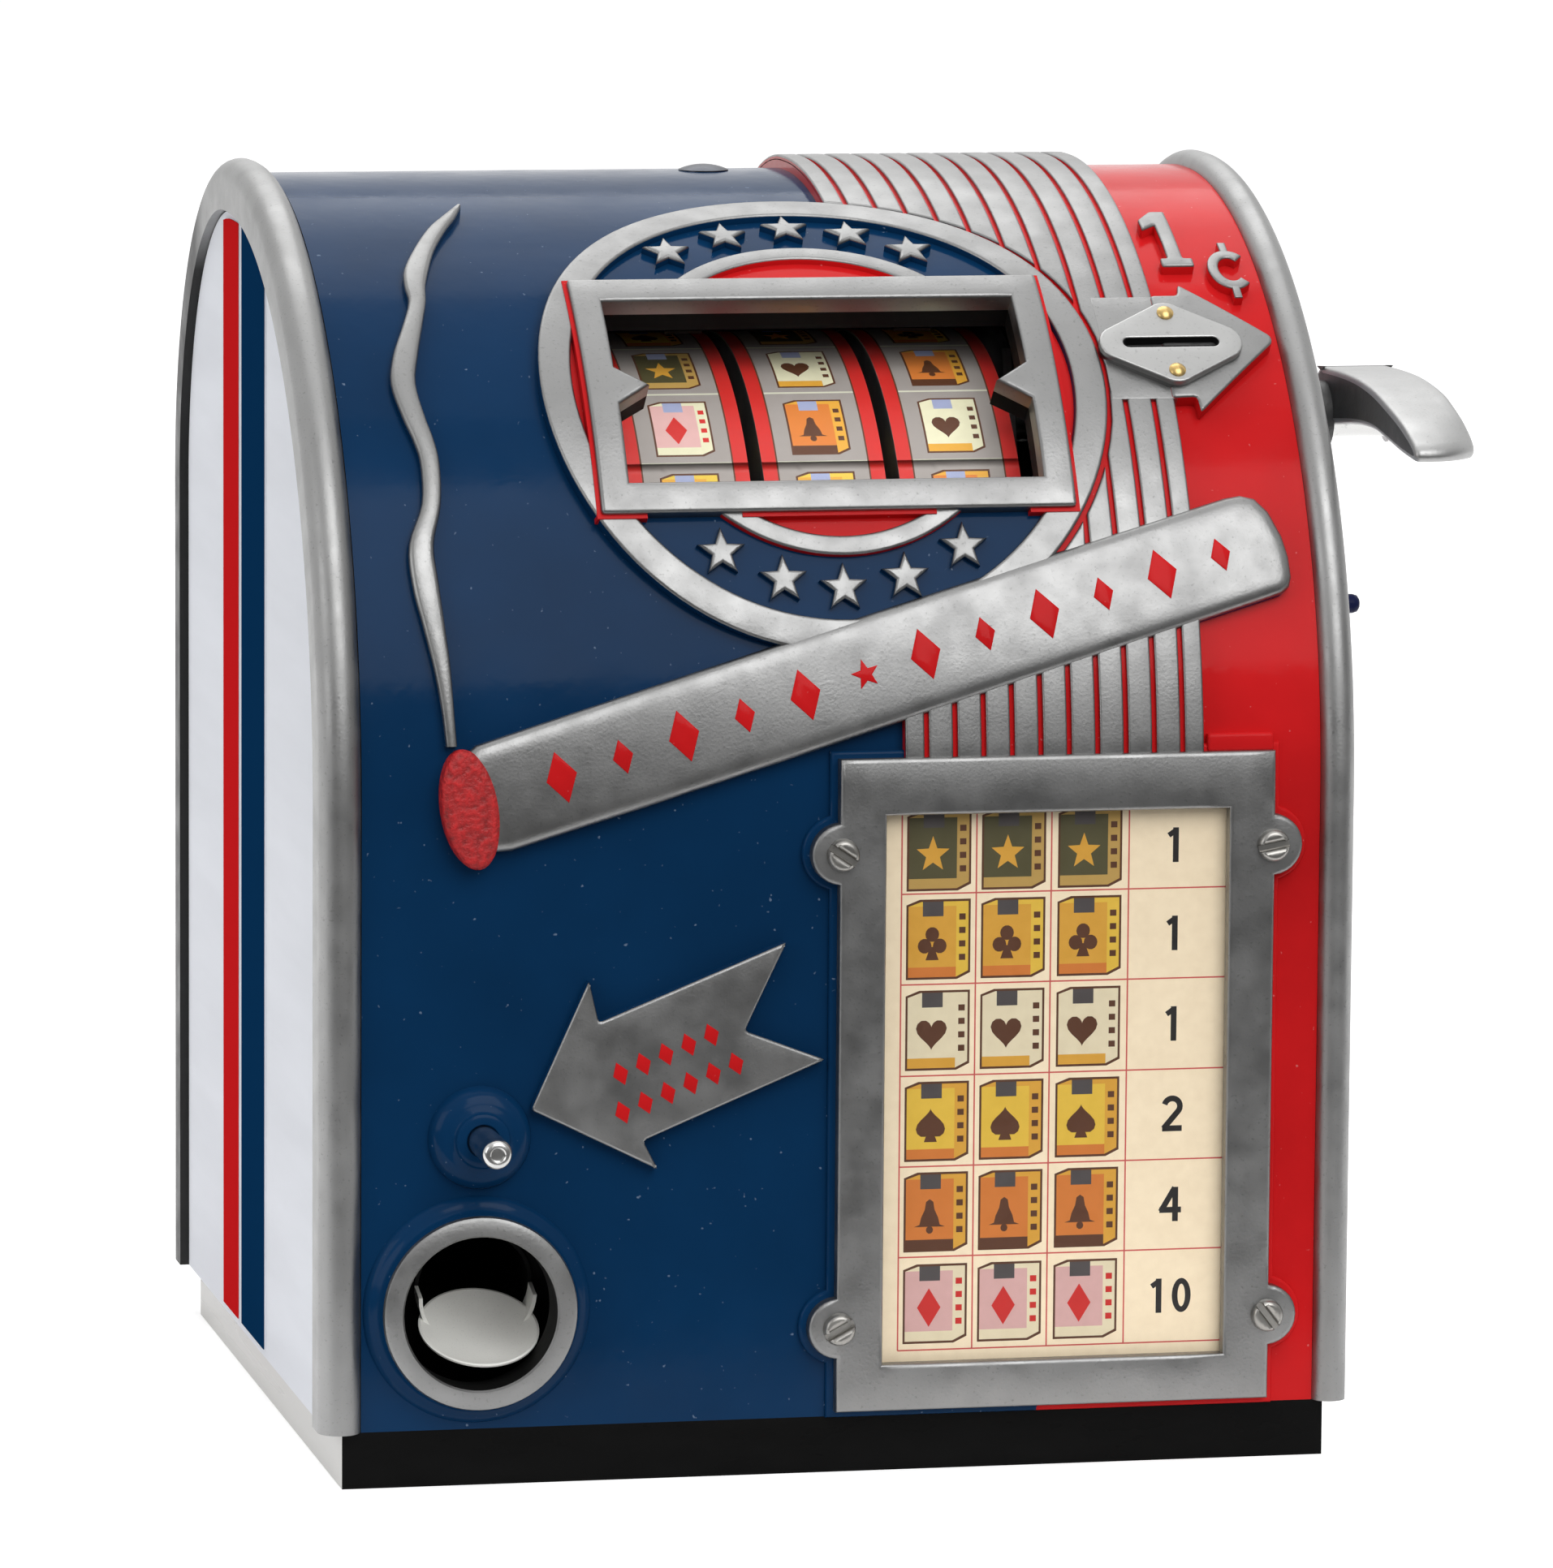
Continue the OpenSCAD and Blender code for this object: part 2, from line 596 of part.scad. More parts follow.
// Gum vender
tube_at = [plunger_at[0], front + 40];
tube_in_d = 18;
tube_t = 1.2;
tube_z = [62, upright_h + 47];
collar = [10, 2];
collar_y = front + wall + 6;
plunger_tip = front - 22;
module gum_plunger() {
  color("#c4c4c4") {
    difference() {
      y_rod(plunger_tip, tube_at[1] + 16, plunger_at, plunger_d);
      translate([plunger_at[0] - 5, tube_at[1] - tube_in_d - plunger_travel, plunger_at[1] + 1])
        cube([10, tube_in_d - 2, plunger_d]);
    }
    y_rod(collar_y, collar_y + collar[1], plunger_at, collar[0]);
  }
}
module plunger_spring() {
  y0 = collar_y + collar[1] + moving_gap;
  room = tube_at[1] - tube_in_d / 2 - tube_t - y0 - 2 * moving_gap;
  color("silver") translate([plunger_at[0], y0, plunger_at[1]])
    rotate([-90, 0, 0]) spring(plunger_d + 2, 0.8, room, 7);
}
module gum_tube() {
  color("#b9bcbd") difference() {
    union() {
      translate([tube_at[0], tube_at[1], tube_z[0]])
        cylinder(d = tube_in_d + 2 * tube_t, h = tube_z[1] - tube_z[0]);
      for (z = [tube_z[0] + 30, tube_z[1] - 20])
        translate([tube_at[0] + tube_in_d / 2, tube_at[1] - 4, z])
          cube([plate_left_x - tube_at[0] - tube_in_d / 2, 8, tube_t]);
    }
    translate([tube_at[0], tube_at[1], tube_z[0] - 1]) cylinder(d = tube_in_d, h = tube_z[1] - tube_z[0] + 2);
    y_rod(tube_at[1] - 20, tube_at[1] + 20, plunger_at, plunger_d + 2 * moving_gap);
  }
}
// Trough under the tube, sloping down to the ring in the front
cup_r = 13;
cup_t = 1;
cup_slope = 16;
cup_foot = [8, 10];
module gum_cup() {
  color("#d9d9d6") difference() {
    union() {
      cup_line() cylinder(r = cup_r, h = cup_l);
      translate([cup_at[0] - cup_foot[0] / 2, front + 25, plinth_h]) cube([cup_foot[0], cup_foot[1], 22]);
    }
    cup_line() translate([0, 0, cup_t]) cylinder(r = cup_r - cup_t, h = cup_l);
    cup_line() translate([-20, 0, -1]) cube([40, 20, cup_l + 8]);
    translate([-150, front - 20, 0]) cube([150, 20 + 1, 100]);
  }
}
cup_l = 52;
module cup_line() {
  translate([cup_at[0], tube_at[1] + 11, cup_at[1] + 13]) rotate([90 + cup_slope, 0, 0]) children();
}

// Lever and its drive
lever_x = case_w / 2 + 16;
lever_bush_d = 16;
hub_d = 26;
module lever() {
  reach = -paddle_reach;
  color("#bdbdb8") difference() {
    union() {
      x_rod(case_w / 2 + 1.5, lever_x + 4, lever_axis, hub_d);
      x_plate(lever_x, paddle_w) translate(lever_axis) polygon([[0, 12.5], [-27, 14.5], [-43, 14],
        [reach + 29, 12.5], [reach + 14, 8], [reach + 1, 2.5], [reach, 0.5], [reach + 3, -1.5],
        [reach + 35, 3], [-30, 3.3], [-12, 0], [-7, -10], [0, -12]]);
      x_rod(lever_x, lever_x + paddle_w, lever_axis, hub_d - 1);
    }
    x_rod(case_w / 2, lever_x + paddle_w + 1, lever_axis, lever_shaft_d);
  }
}
module lever_shaft() {
  color("silver") x_rod(plate_right_x, lever_x + paddle_w + 4, lever_axis, lever_shaft_d);
}
module lever_bush() {
  color("#b08d3c") difference() {
    union() {
      x_rod(panel_x - panel_t - 4, panel_x + 0.2, lever_axis, lever_bush_d);
      x_rod(panel_x - panel_t - 6, panel_x - panel_t, lever_axis, lever_bush_d + 6);
    }
    x_rod(panel_x - panel_t - 7, panel_x + 5, lever_axis, lever_shaft_d + 2 * running_gap);
  }
}
module lever_nut() {
  color("silver") difference() {
    translate([lever_x + paddle_w, lever_axis[0], lever_axis[1]]) rotate([0, 90, 0])
      cylinder(d = 17, h = 3.5, $fn = 6);
    x_rod(lever_x, lever_x + paddle_w + 9, lever_axis, lever_shaft_d);
  }
}
// Spur teeth on a disc: n teeth of module 2, those with index from first to last
tooth_m = 2;
backlash = 0.35;
module toothed(r, first, last, turn) {
  pitch = tooth_m * PI;
  half = pitch / 4 - backlash / 2;
  for (i = [first:last]) rotate(turn + i * pitch / r * 180 / PI)
    polygon([[r - 3.5, -half - 0.7], [r - 2.2, -half - 0.7], [r + 1.6, -half + 0.8], [r + 1.6, half - 0.8],
      [r - 2.2, half + 0.7], [r - 3.5, half + 0.7]]);
}
mesh_angle = atan2(kicker_axis[1] - lever_axis[1], kicker_axis[0] - lever_axis[0]);
gear_x = plate_right_x + 14;
gear_t = 5;
spring_arm = 25;
module drive_sector() {
  color("#8f9396") x_plate(gear_x, gear_t) translate(lever_axis) difference() {
    union() {
      circle(d = 22);
      intersection() {
        circle(r = sector_r - 2.4);
        polygon([[0, -6], [0, 6], [44, 36], [60, 10], [44, -32]]);
      }
      toothed(sector_r, -5, 1, mesh_angle);
      translate([-4, -spring_arm - 4]) square([8, spring_arm]);
    }
    circle(d = lever_shaft_d);
    translate([0, -spring_arm]) circle(d = 3);
  }
}
post_at = [lever_axis[0] - 26, lever_axis[1] - spring_arm];
post_d = 4;
module spring_post() {
  color("silver") {
    x_rod(plate_right_x + plate_t, gear_x + gear_t, post_at, post_d);
    x_rod(plate_right_x + plate_t, plate_right_x + plate_t + 3, post_at, post_d + 4);
  }
}
module handle_spring() {
  length = lever_axis[0] - post_at[0] - post_d - 5;
  color("silver") translate([gear_x + gear_t / 2, post_at[0] + post_d / 2 + 0.4, post_at[1]])
    rotate([-90, 0, 0]) spring(6.5, 1, length, 10);
}
kicker_d = 8;
finger_l = norm(kicker_axis - reel_axis) - index_r - 2 * moving_gap;
lever_turn = 30;
kick_angle = atan2(reel_axis[1] - kicker_axis[1], reel_axis[0] - kicker_axis[0])
  + lever_turn * sector_r / pinion_r;
module kicker() {
  color("#9a9da0") {
    x_rod(plate_left_x + plate_t + moving_gap, plate_right_x - moving_gap, kicker_axis, kicker_d + 3);
    x_rod(plate_left_x - 3, gear_x + gear_t + 2, kicker_axis, kicker_d);
    for (i = [1:3]) x_plate(index_x(i), index_t) translate(kicker_axis) rotate(kick_angle)
      polygon([[0, -5], [finger_l, -1], [finger_l, 1], [0, 5]]);
  }
}
module kicker_pinion() {
  color("#b08d3c") x_plate(gear_x, gear_t) translate(kicker_axis) difference() {
    union() {
      circle(r = pinion_r - 2.4);
      toothed(pinion_r, 0, 18, mesh_angle + 180 + tooth_m * PI / pinion_r * 90 / PI);
    }
    circle(d = kicker_d);
  }
}

// Frame of the mechanism
mech_foot_y = [front + 80, front + 165];
mech_screw_d = 4;
foot_w = 16;
function foot_side(x) = x < 0 ? plate_t + foot_w / 2 : -foot_w / 2;
tie_places = [[front + 67, 80], [front + 162, 75], [front + 160, upright_h + 57]];
tie_d = 6;
// Corners of the side plates: distance from the front, Z
mech_outline = [[52, plinth_h], [190, plinth_h], [190, 40], [172, 100], [172, upright_h + 82],
  [152, upright_h + 104], [118, upright_h + 104], [72, upright_h + 88], [58, upright_h + 47], [58, 100],
  [52, 40]];
module mech_plate(x0, lever_bearing) {
  difference() {
    union() {
      x_plate(x0, plate_t) translate([front, 0]) polygon(mech_outline);
      for (y = mech_foot_y) translate([x0 + foot_side(x0) - foot_w / 2, y - 10, plinth_h])
        cube([foot_w, 20, plate_t]);
    }
    x_rod(x0 - 1, x0 + plate_t + 1, reel_axis, reel_shaft_d);
    x_rod(x0 - 1, x0 + plate_t + 1, kicker_axis, kicker_d + 2 * running_gap);
    x_rod(x0 - 1, x0 + plate_t + 1, stop_axis, stop_shaft_d);
    for (p = tie_places) x_rod(x0 - 1, x0 + plate_t + 1, p, tie_d);
    if (lever_bearing) x_rod(x0 - 1, x0 + plate_t + 1, lever_axis, lever_shaft_d + 2 * running_gap);
    for (y = mech_foot_y) translate([x0 + foot_side(x0), y, 0]) cylinder(d = mech_screw_d, h = plinth_h + 10);
  }
}
module mech_plate_left() {
  color("#9fa3a6") mech_plate(plate_left_x, false);
}
module mech_plate_right() {
  color("#9fa3a6") mech_plate(plate_right_x, true);
}
module tie_rods() {
  color("silver") for (p = tie_places) x_rod(shaft_x[0], shaft_x[1], p, tie_d);
}
module mech_nuts() {
  color("silver") for (p = concat(tie_places, [reel_axis, stop_axis])) {
    bore = p == reel_axis ? reel_shaft_d : tie_d;
    for (x = [plate_left_x - 4, plate_right_x + plate_t]) difference() {
      translate([x, p[0], p[1]]) rotate([0, 90, 0]) cylinder(d = bore * 1.9, h = 4, $fn = 6);
      x_rod(x - 1, x + 5, p, bore);
    }
  }
}
module mech_screws() {
  color("silver") for (x = [plate_left_x, plate_right_x], y = mech_foot_y)
    translate([x + foot_side(x), y, plinth_h + plate_t])
    slotted_screw([8, 2.5], mech_screw_d, plinth_h + plate_t - 1);
}

// Reels
strip_t = 0.4;
drum_t = 1.2;
web_t = 1.5;
hub_r = 9;
function reel_at(i) = reel_x + (i - 2) * reel_pitch;
function index_x(i) = reel_at(i) + reel_w / 2;
module reel_drum(i) {
  x0 = reel_at(i) - reel_w / 2;
  color("#8d8f91") difference() {
    union() {
      difference() {
        x_rod(x0, x0 + reel_w, reel_axis, 2 * (reel_r - strip_t));
        x_rod(x0 + web_t, x0 + reel_w + 1, reel_axis, 2 * (reel_r - strip_t - drum_t));
      }
      x_rod(x0, x0 + reel_w, reel_axis, 2 * hub_r);
    }
    x_rod(x0 - 1, x0 + reel_w + 1, reel_axis, reel_shaft_d + 2 * running_gap);
    for (k = [0:4]) x_rod(x0 - 1, x0 + web_t + 1,
      reel_axis + (reel_r + hub_r) / 2 * [cos(k * 72), sin(k * 72)], (reel_r - hub_r) * 0.54);
  }
}
module reel_strip(i) {
  x0 = reel_at(i) - reel_w / 2;
  color("#c8c2bb") difference() {
    x_rod(x0, x0 + reel_w, reel_axis, 2 * reel_r);
    x_rod(x0 - 1, x0 + reel_w + 1, reel_axis, 2 * (reel_r - strip_t));
  }
}
module index_wheel(i) {
  color("#b08d3c") x_plate(index_x(i), index_t) translate(reel_axis) difference() {
    polygon([for (k = [0:2 * symbol_count - 1]) (k % 2 == 0 ? index_r : index_r - 4)
      * [cos(k * 180 / symbol_count), sin(k * 180 / symbol_count)]]);
    circle(d = reel_shaft_d + 2 * running_gap);
    for (k = [0:4]) rotate(k * 72) translate([(index_r + hub_r) / 2 - 1.5, 0]) circle(d = index_r * 0.46);
  }
}
module reel_drum_1() { reel_drum(1); }
module reel_drum_2() { reel_drum(2); }
module reel_drum_3() { reel_drum(3); }
module reel_strip_1() { reel_strip(1); }
module reel_strip_2() { reel_strip(2); }
module reel_strip_3() { reel_strip(3); }
module index_wheel_1() { index_wheel(1); }
module index_wheel_2() { index_wheel(2); }
module index_wheel_3() { index_wheel(3); }
module reel_shaft() {
  color("silver") x_rod(shaft_x[0], shaft_x[1], reel_axis, reel_shaft_d);
}
// Collars on a shaft that fill the room beside and between what turns on it
module collars(axis, d, bore, ends) {
  for (e = ends) difference() {
    x_rod(e[0] + 0.2, e[1] - 0.2, axis, d);
    x_rod(e[0] - 1, e[1] + 1, axis, bore);
  }
}
module reel_spacers() {
  color("#77797b") collars(reel_axis, 14, reel_shaft_d, concat(
    [[plate_left_x + plate_t - 0.2, reel_at(1) - reel_w / 2]],
    [for (i = [1, 2]) [index_x(i) + index_t, reel_at(i + 1) - reel_w / 2]],
    [[index_x(3) + index_t, plate_right_x + 0.2]]));
}

// Stops that drop into the index wheels
stop_shaft_d = 6;
stop_l = norm(stop_axis - reel_axis) - index_r - moving_gap;
stop_angle = atan2(reel_axis[1] - stop_axis[1], reel_axis[0] - stop_axis[0]);
module stop_arm(i) {
  color("#9a9da0") difference() {
    x_plate(index_x(i), index_t) translate(stop_axis) rotate(stop_angle) union() {
      circle(d = 14);
      polygon([[0, -6], [stop_l - 3, -3], [stop_l, -1], [stop_l, 1], [stop_l - 3, 3], [0, 6], [-26, 3],
        [-26, -3]]);
    }
    x_rod(index_x(i) - 1, index_x(i) + index_t + 1, stop_axis, stop_shaft_d + 2 * running_gap);
  }
}
module stop_arm_1() { stop_arm(1); }
module stop_arm_2() { stop_arm(2); }
module stop_arm_3() { stop_arm(3); }
module stop_shaft() {
  color("silver") x_rod(shaft_x[0], shaft_x[1], stop_axis, stop_shaft_d);
}
module stop_spacers() {
  color("#77797b") collars(stop_axis, 11, stop_shaft_d, concat(
    [[plate_left_x + plate_t - 0.2, index_x(1)]],
    [for (i = [1, 2]) [index_x(i) + index_t, index_x(i + 1)]],
    [[index_x(3) + index_t, plate_right_x + 0.2]]));
}

// Cash box on the plinth, under the coin chute
cash_x = [plate_right_x + plate_t + 2, panel_x - panel_t - 4];
cash_y = [front + 40, back - 24];
cash_t = 1;
module cash_box() {
  color("#6d7072") translate([cash_x[0], cash_y[0], plinth_h]) difference() {
    cube([cash_x[1] - cash_x[0], cash_y[1] - cash_y[0], cash_h]);
    translate([cash_t, cash_t, cash_t])
      cube([cash_x[1] - cash_x[0] - 2 * cash_t, cash_y[1] - cash_y[0] - 2 * cash_t, cash_h]);
  }
}

// Rear door, its hinge and its lock
hinge_at = [-door_w / 2 - 0.5, back + 3.2];
knuckle_d = 5;
hinge_pin_d = 2.5;
knuckle_z = [door_z[0] + 10, door_z[0] + 45, door_z[1] - 45, door_z[1] - 10];
lock_at = [door_w / 2 - 17, (door_z[0] + door_z[1]) / 2 + 2.5];
lock_d = 16;
plug_d = 9;
door_gap = 0.6;
module knuckle(z0, z1) {
  translate([hinge_at[0], hinge_at[1], z0]) cylinder(d = knuckle_d, h = z1 - z0);
}
module hinge_bore() {
  translate([hinge_at[0], hinge_at[1], 0]) cylinder(d = hinge_pin_d + 2 * running_gap, h = top_z);
}
module rear_door() {
  color("#8b8e90") difference() {
    union() {
      translate([-door_w / 2 + door_gap, back - door_t, door_z[0] + door_gap])
        cube([door_w - 2 * door_gap, door_t, door_z[1] - door_z[0] - 2 * door_gap]);
      translate([-door_w / 2 + door_gap, back - door_t, knuckle_z[1] + moving_gap])
        cube([6, door_t + 1.6, knuckle_z[2] - knuckle_z[1] - 2 * moving_gap]);
      knuckle(knuckle_z[1] + moving_gap, knuckle_z[2] - moving_gap);
    }
    hinge_bore();
    y_rod(back - 20, back + 20, lock_at, lock_d);
  }
}
module hinge_leaf() {
  color("#8b8e90") difference() {
    union() for (k = [0, 2]) {
      knuckle(knuckle_z[k], knuckle_z[k + 1]);
      translate([-inner_w / 2, back, knuckle_z[k]])
        cube([hinge_at[0] + inner_w / 2, 1.6, knuckle_z[k + 1] - knuckle_z[k]]);
    }
    hinge_bore();
  }
}
module hinge_pin() {
  color("silver") translate([hinge_at[0], hinge_at[1], knuckle_z[0] - 1])
    cylinder(d = hinge_pin_d, h = knuckle_z[3] - knuckle_z[0] + 2);
}
cam_y = back - wall - 4;
cam_t = 2;
cam_l = inner_w / 2 - lock_at[0] - 1;
module door_lock() {
  color("#c0b28a") difference() {
    union() {
      y_rod(cam_y + cam_t + moving_gap, back + 1, lock_at, lock_d);
      y_rod(back, back + 2, lock_at, lock_d + 5);
    }
    y_rod(back - 30, back + 10, lock_at, plug_d + 2 * running_gap);
  }
}
module lock_plug() {
  color("#d8cda6") difference() {
    union() {
      y_rod(cam_y, back + 2.6, lock_at, plug_d);
      translate([lock_at[0] - 5, cam_y, lock_at[1]]) cube([10, cam_t, cam_l]);
    }
    translate([lock_at[0] - 0.6, back - 3, lock_at[1] - 3]) cube([1.2, 20, 6]);
  }
}

plinth();
hood();
left_side();
right_side();
case_screws();
top_screw();
window_glass();
glass_clips();
award_frame();
award_glass();
award_card();
award_screws();
coin_plate();
coin_plate_pins();
coin_chute();
coin_return_button();
button_spring();
gum_plunger();
plunger_spring();
gum_tube();
gum_cup();
lever();
lever_shaft();
lever_bush();
lever_nut();
drive_sector();
handle_spring();
spring_post();
kicker();
kicker_pinion();
mech_plate_left();
mech_plate_right();
tie_rods();
mech_nuts();
mech_screws();
reel_shaft();
reel_spacers();
reel_drum_1();
reel_drum_2();
reel_drum_3();
reel_strip_1();
reel_strip_2();
reel_strip_3();
index_wheel_1();
index_wheel_2();
index_wheel_3();
stop_shaft();
stop_arm_1();
stop_arm_2();
stop_arm_3();
stop_spacers();
cash_box();
rear_door();
hinge_leaf();
hinge_pin();
door_lock();
lock_plug();
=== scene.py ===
"""Looks of a counter-top trade stimulator: cast hood, reels, award card, gum vender and lever."""

import json
import math

import bmesh
import bpy
import numpy as np
from bpy.props import FloatProperty, FloatVectorProperty, IntProperty, PointerProperty
from mathutils import Matrix, Vector
from mathutils.geometry import delaunay_2d_cdt


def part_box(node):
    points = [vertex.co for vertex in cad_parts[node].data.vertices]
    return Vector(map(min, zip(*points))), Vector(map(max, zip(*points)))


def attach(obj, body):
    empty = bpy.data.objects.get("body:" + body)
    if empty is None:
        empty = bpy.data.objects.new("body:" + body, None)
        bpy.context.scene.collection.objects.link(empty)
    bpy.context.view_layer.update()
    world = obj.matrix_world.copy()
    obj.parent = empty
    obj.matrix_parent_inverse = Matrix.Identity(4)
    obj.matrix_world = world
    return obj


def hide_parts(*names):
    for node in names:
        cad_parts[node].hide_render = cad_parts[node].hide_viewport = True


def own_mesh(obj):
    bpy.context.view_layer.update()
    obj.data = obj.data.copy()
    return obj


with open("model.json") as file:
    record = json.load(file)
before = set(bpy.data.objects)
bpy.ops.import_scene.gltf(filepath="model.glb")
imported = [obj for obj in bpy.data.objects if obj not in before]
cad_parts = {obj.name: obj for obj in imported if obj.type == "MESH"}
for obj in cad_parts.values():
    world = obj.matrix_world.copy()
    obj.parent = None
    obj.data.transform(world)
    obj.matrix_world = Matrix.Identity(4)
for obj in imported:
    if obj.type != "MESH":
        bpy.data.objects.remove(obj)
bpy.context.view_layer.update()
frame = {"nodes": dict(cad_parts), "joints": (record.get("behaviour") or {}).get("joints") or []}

bl_info = {
    "name": "Trade stimulator looks",
    "version": (1, 0, 0),
    "blender": (4, 5, 0),
    "location": "View3D > Sidebar > Stimulator",
    "description": "Builds the visible pieces of a counter-top trade stimulator round its frame",
    "category": "Object",
}

MM = 0.001


def in_mm(vector):
    """A place of the frame in millimetres, to the hundredth."""
    return [round(c / MM, 2) for c in vector]


def middle_of(node):
    """Middle of a node of the frame, in millimetres."""
    low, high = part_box(node)
    return in_mm((low + high) / 2)


HOOD_LOW, HOOD_HIGH = (in_mm(corner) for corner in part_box("hood"))
CARD_HIGH = in_mm(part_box("award_card")[1])
AXIS = {joint["name"]: in_mm(joint["pos_m"]) for joint in frame["joints"] if "pos_m" in joint}

# The hood's profile in millimetres: upright front, front bend, flat, rear bend, upright back
FRONT_Y = -115.0
UPRIGHT = 143.0
FRONT_BEND = 123.0
TOP_FLAT = 4.0
REAR_BEND = 74.0
HOOD_FOOT = HOOD_LOW[2]
WALL = 4.0
FRONT_AXIS_Y = FRONT_Y + FRONT_BEND
TOP_Z = UPRIGHT + FRONT_BEND
REAR_AXIS_Y = FRONT_AXIS_Y + TOP_FLAT
REAR_AXIS_Z = TOP_Z - REAR_BEND
BACK_Y = REAR_AXIS_Y + REAR_BEND
# Lengths along the profile at which its parts end
S_FRONT = UPRIGHT + FRONT_BEND * math.pi / 2
S_FLAT = S_FRONT + TOP_FLAT
S_REAR = S_FLAT + REAR_BEND * math.pi / 2
S_BACK = S_REAR + REAR_AXIS_Z
S_END = S_BACK - HOOD_FOOT

# X where the painted ground ends at the left and at the right, and where the case ends over its rims
HALF_GROUND = 102.0
RIGHT_GROUND = 103.6
HALF_CASE = HOOD_HIGH[0]
RIM_RISE = 3.2
RIM_IN = 8.0
# X where the blue paint meets the red
SEAM = 45.0

# Middles of what stands on the hood, as X and length along the profile, with their half sizes
RING = (2.0, 235.0)
WINDOW = (1.5, 233.5)
COIN = (78.5, 242.3)
COIN_CUT = (10.8, 1.6)
COIN_SEAT = 4.0
PLUNGER = middle_of("gum_plunger")[::2]
CUP = (-77.5, 37.5)
AWARD = middle_of("award_card")[::2]
AWARD_HALF = (47.0, 68.5)
AWARD_EAR = (46.5, 50.5)
CARD_HALF = (CARD_HIGH[0] - AWARD[0], CARD_HIGH[2] - AWARD[1])
CARD_SEEN = (37.0, 58.5)
STRIPES = (13.0, 77.5)
STRIPE_FOOT = 151.0
# Axes of what turns or slides, as Y and Z, with their places along X
REEL_AXIS = AXIS["reel_1_spin"][1:]
REEL_CENTRES = [middle_of(f"reel_drum_{i}")[0] for i in (1, 2, 3)]
LEVER_X, *LEVER_AXIS = AXIS["lever_pull"]
RETURN_AT = middle_of("coin_return_button")[1:]

CAMERA_TARGET = Vector((-0.0144, -0.1164, 0.1474))
# Area lamps: place in metres, power in watts and size in metres
LAMPS = {
    "key": ((0.45, -1.9, 1.6), 32.0, 1.8),
    "top": ((0.0, 0.2, 1.9), 4.0, 1.6),
    "fill": ((-1.9, -0.9, 0.8), 8.0, 1.2),
    "back": ((0.0, 1.3, 1.9), 14.0, 1.7),
}


def length_prop(name, description, size):
    """A length that a user may change, given in millimetres."""
    return FloatProperty(name=name, description=description, default=size * MM, unit="LENGTH", precision=4)


def angle_prop(name, description, degrees):
    """An angle that a user may change."""
    return FloatProperty(name=name, description=description, default=math.radians(degrees), subtype="ANGLE")


def colour_prop(name, description, colour):
    """A colour that a user may change."""
    return FloatVectorProperty(
        name=name, description=description, default=colour, subtype="COLOR", size=3, min=0, max=1
    )


class CastingSizes(bpy.types.PropertyGroup):
    """Heights and counts of the hood's reliefs."""

    ring_rise: length_prop("Ring rise", "Height of the bare bands round the reel window", 3.4)
    window_rise: length_prop("Window frame rise", "Height of the reel window's frame", 5)
    banner_rise: length_prop("Banner rise", "Height of the slanted banner", 4)
    stripe_rise: length_prop("Stripe rise", "Height of the striped plate", 3)
    stripe_count: IntProperty(
        name="Grooves", description="Number of grooves in the striped plate", default=10, min=4, max=16
    )


class PrintSizes(bpy.types.PropertyGroup):
    """Sizes of what is printed on the reels and the card."""

    symbol_count: IntProperty(
        name="Symbols", description="Number of symbols round each reel", default=20, min=8, max=24
    )
    first_row: angle_prop("First row", "Angle of the paying row above the level, on the front", 48.6)
    edge_band: length_prop("Edge band", "Width of the coloured band along each edge of a reel strip", 3.1)


class Finishes(bpy.types.PropertyGroup):
    """Colours of the paints, metals and papers."""

    blue: colour_prop("Blue enamel", "Paint of the left half", (0.0028, 0.029, 0.086))
    red: colour_prop("Red enamel", "Paint of the right half", (0.57, 0.012, 0.014))
    white: colour_prop("White enamel", "Paint of the sides", (0.84, 0.86, 0.91))
    aluminium: colour_prop("Bare aluminium", "Sanded casting", (0.275, 0.275, 0.273))
    card: colour_prop("Card", "Paper of the award card", (1.0, 0.84, 0.60))


class StageSizes(bpy.types.PropertyGroup):
    """Camera and light of the studio."""

    azimuth: angle_prop("Camera azimuth", "Angle of the camera from the front", -12.012)
    elevation: angle_prop("Camera elevation", "Angle of the camera above the level", 7.968)
    roll: angle_prop("Camera roll", "Turn of the camera about its own axis", 0.425)
    distance: FloatProperty(
        name="Camera distance", description="From the camera to its target", default=2.10026, unit="LENGTH"
    )
    lens: FloatProperty(name="Lens", description="Focal length for a 36 mm sensor", default=232.88)
    daylight: FloatProperty(
        name="Daylight", description="Strength of the light from straight above", default=0.8, min=0
    )
    floor_glow: FloatProperty(
        name="Floor glow", description="Lifts the floor to white in the picture", default=0.45, min=0
    )


# Places on the hood and flat outlines, in millimetres


def hood_point(x, s, h):
    """Place on the hood at X, at length s along its profile, raised by h."""
    if s <= UPRIGHT:
        y, z = FRONT_Y - h, s
    elif s <= S_FRONT:
        turn = (s - UPRIGHT) / FRONT_BEND
        y = FRONT_AXIS_Y - (FRONT_BEND + h) * math.cos(turn)
        z = UPRIGHT + (FRONT_BEND + h) * math.sin(turn)
    elif s <= S_FLAT:
        y, z = FRONT_AXIS_Y + s - S_FRONT, TOP_Z + h
    elif s <= S_REAR:
        turn = (s - S_FLAT) / REAR_BEND
        y = REAR_AXIS_Y + (REAR_BEND + h) * math.sin(turn)
        z = REAR_AXIS_Z + (REAR_BEND + h) * math.cos(turn)
    else:
        y, z = BACK_Y + h, REAR_AXIS_Z - (s - S_REAR)
    return Vector((x, y, z)) * MM


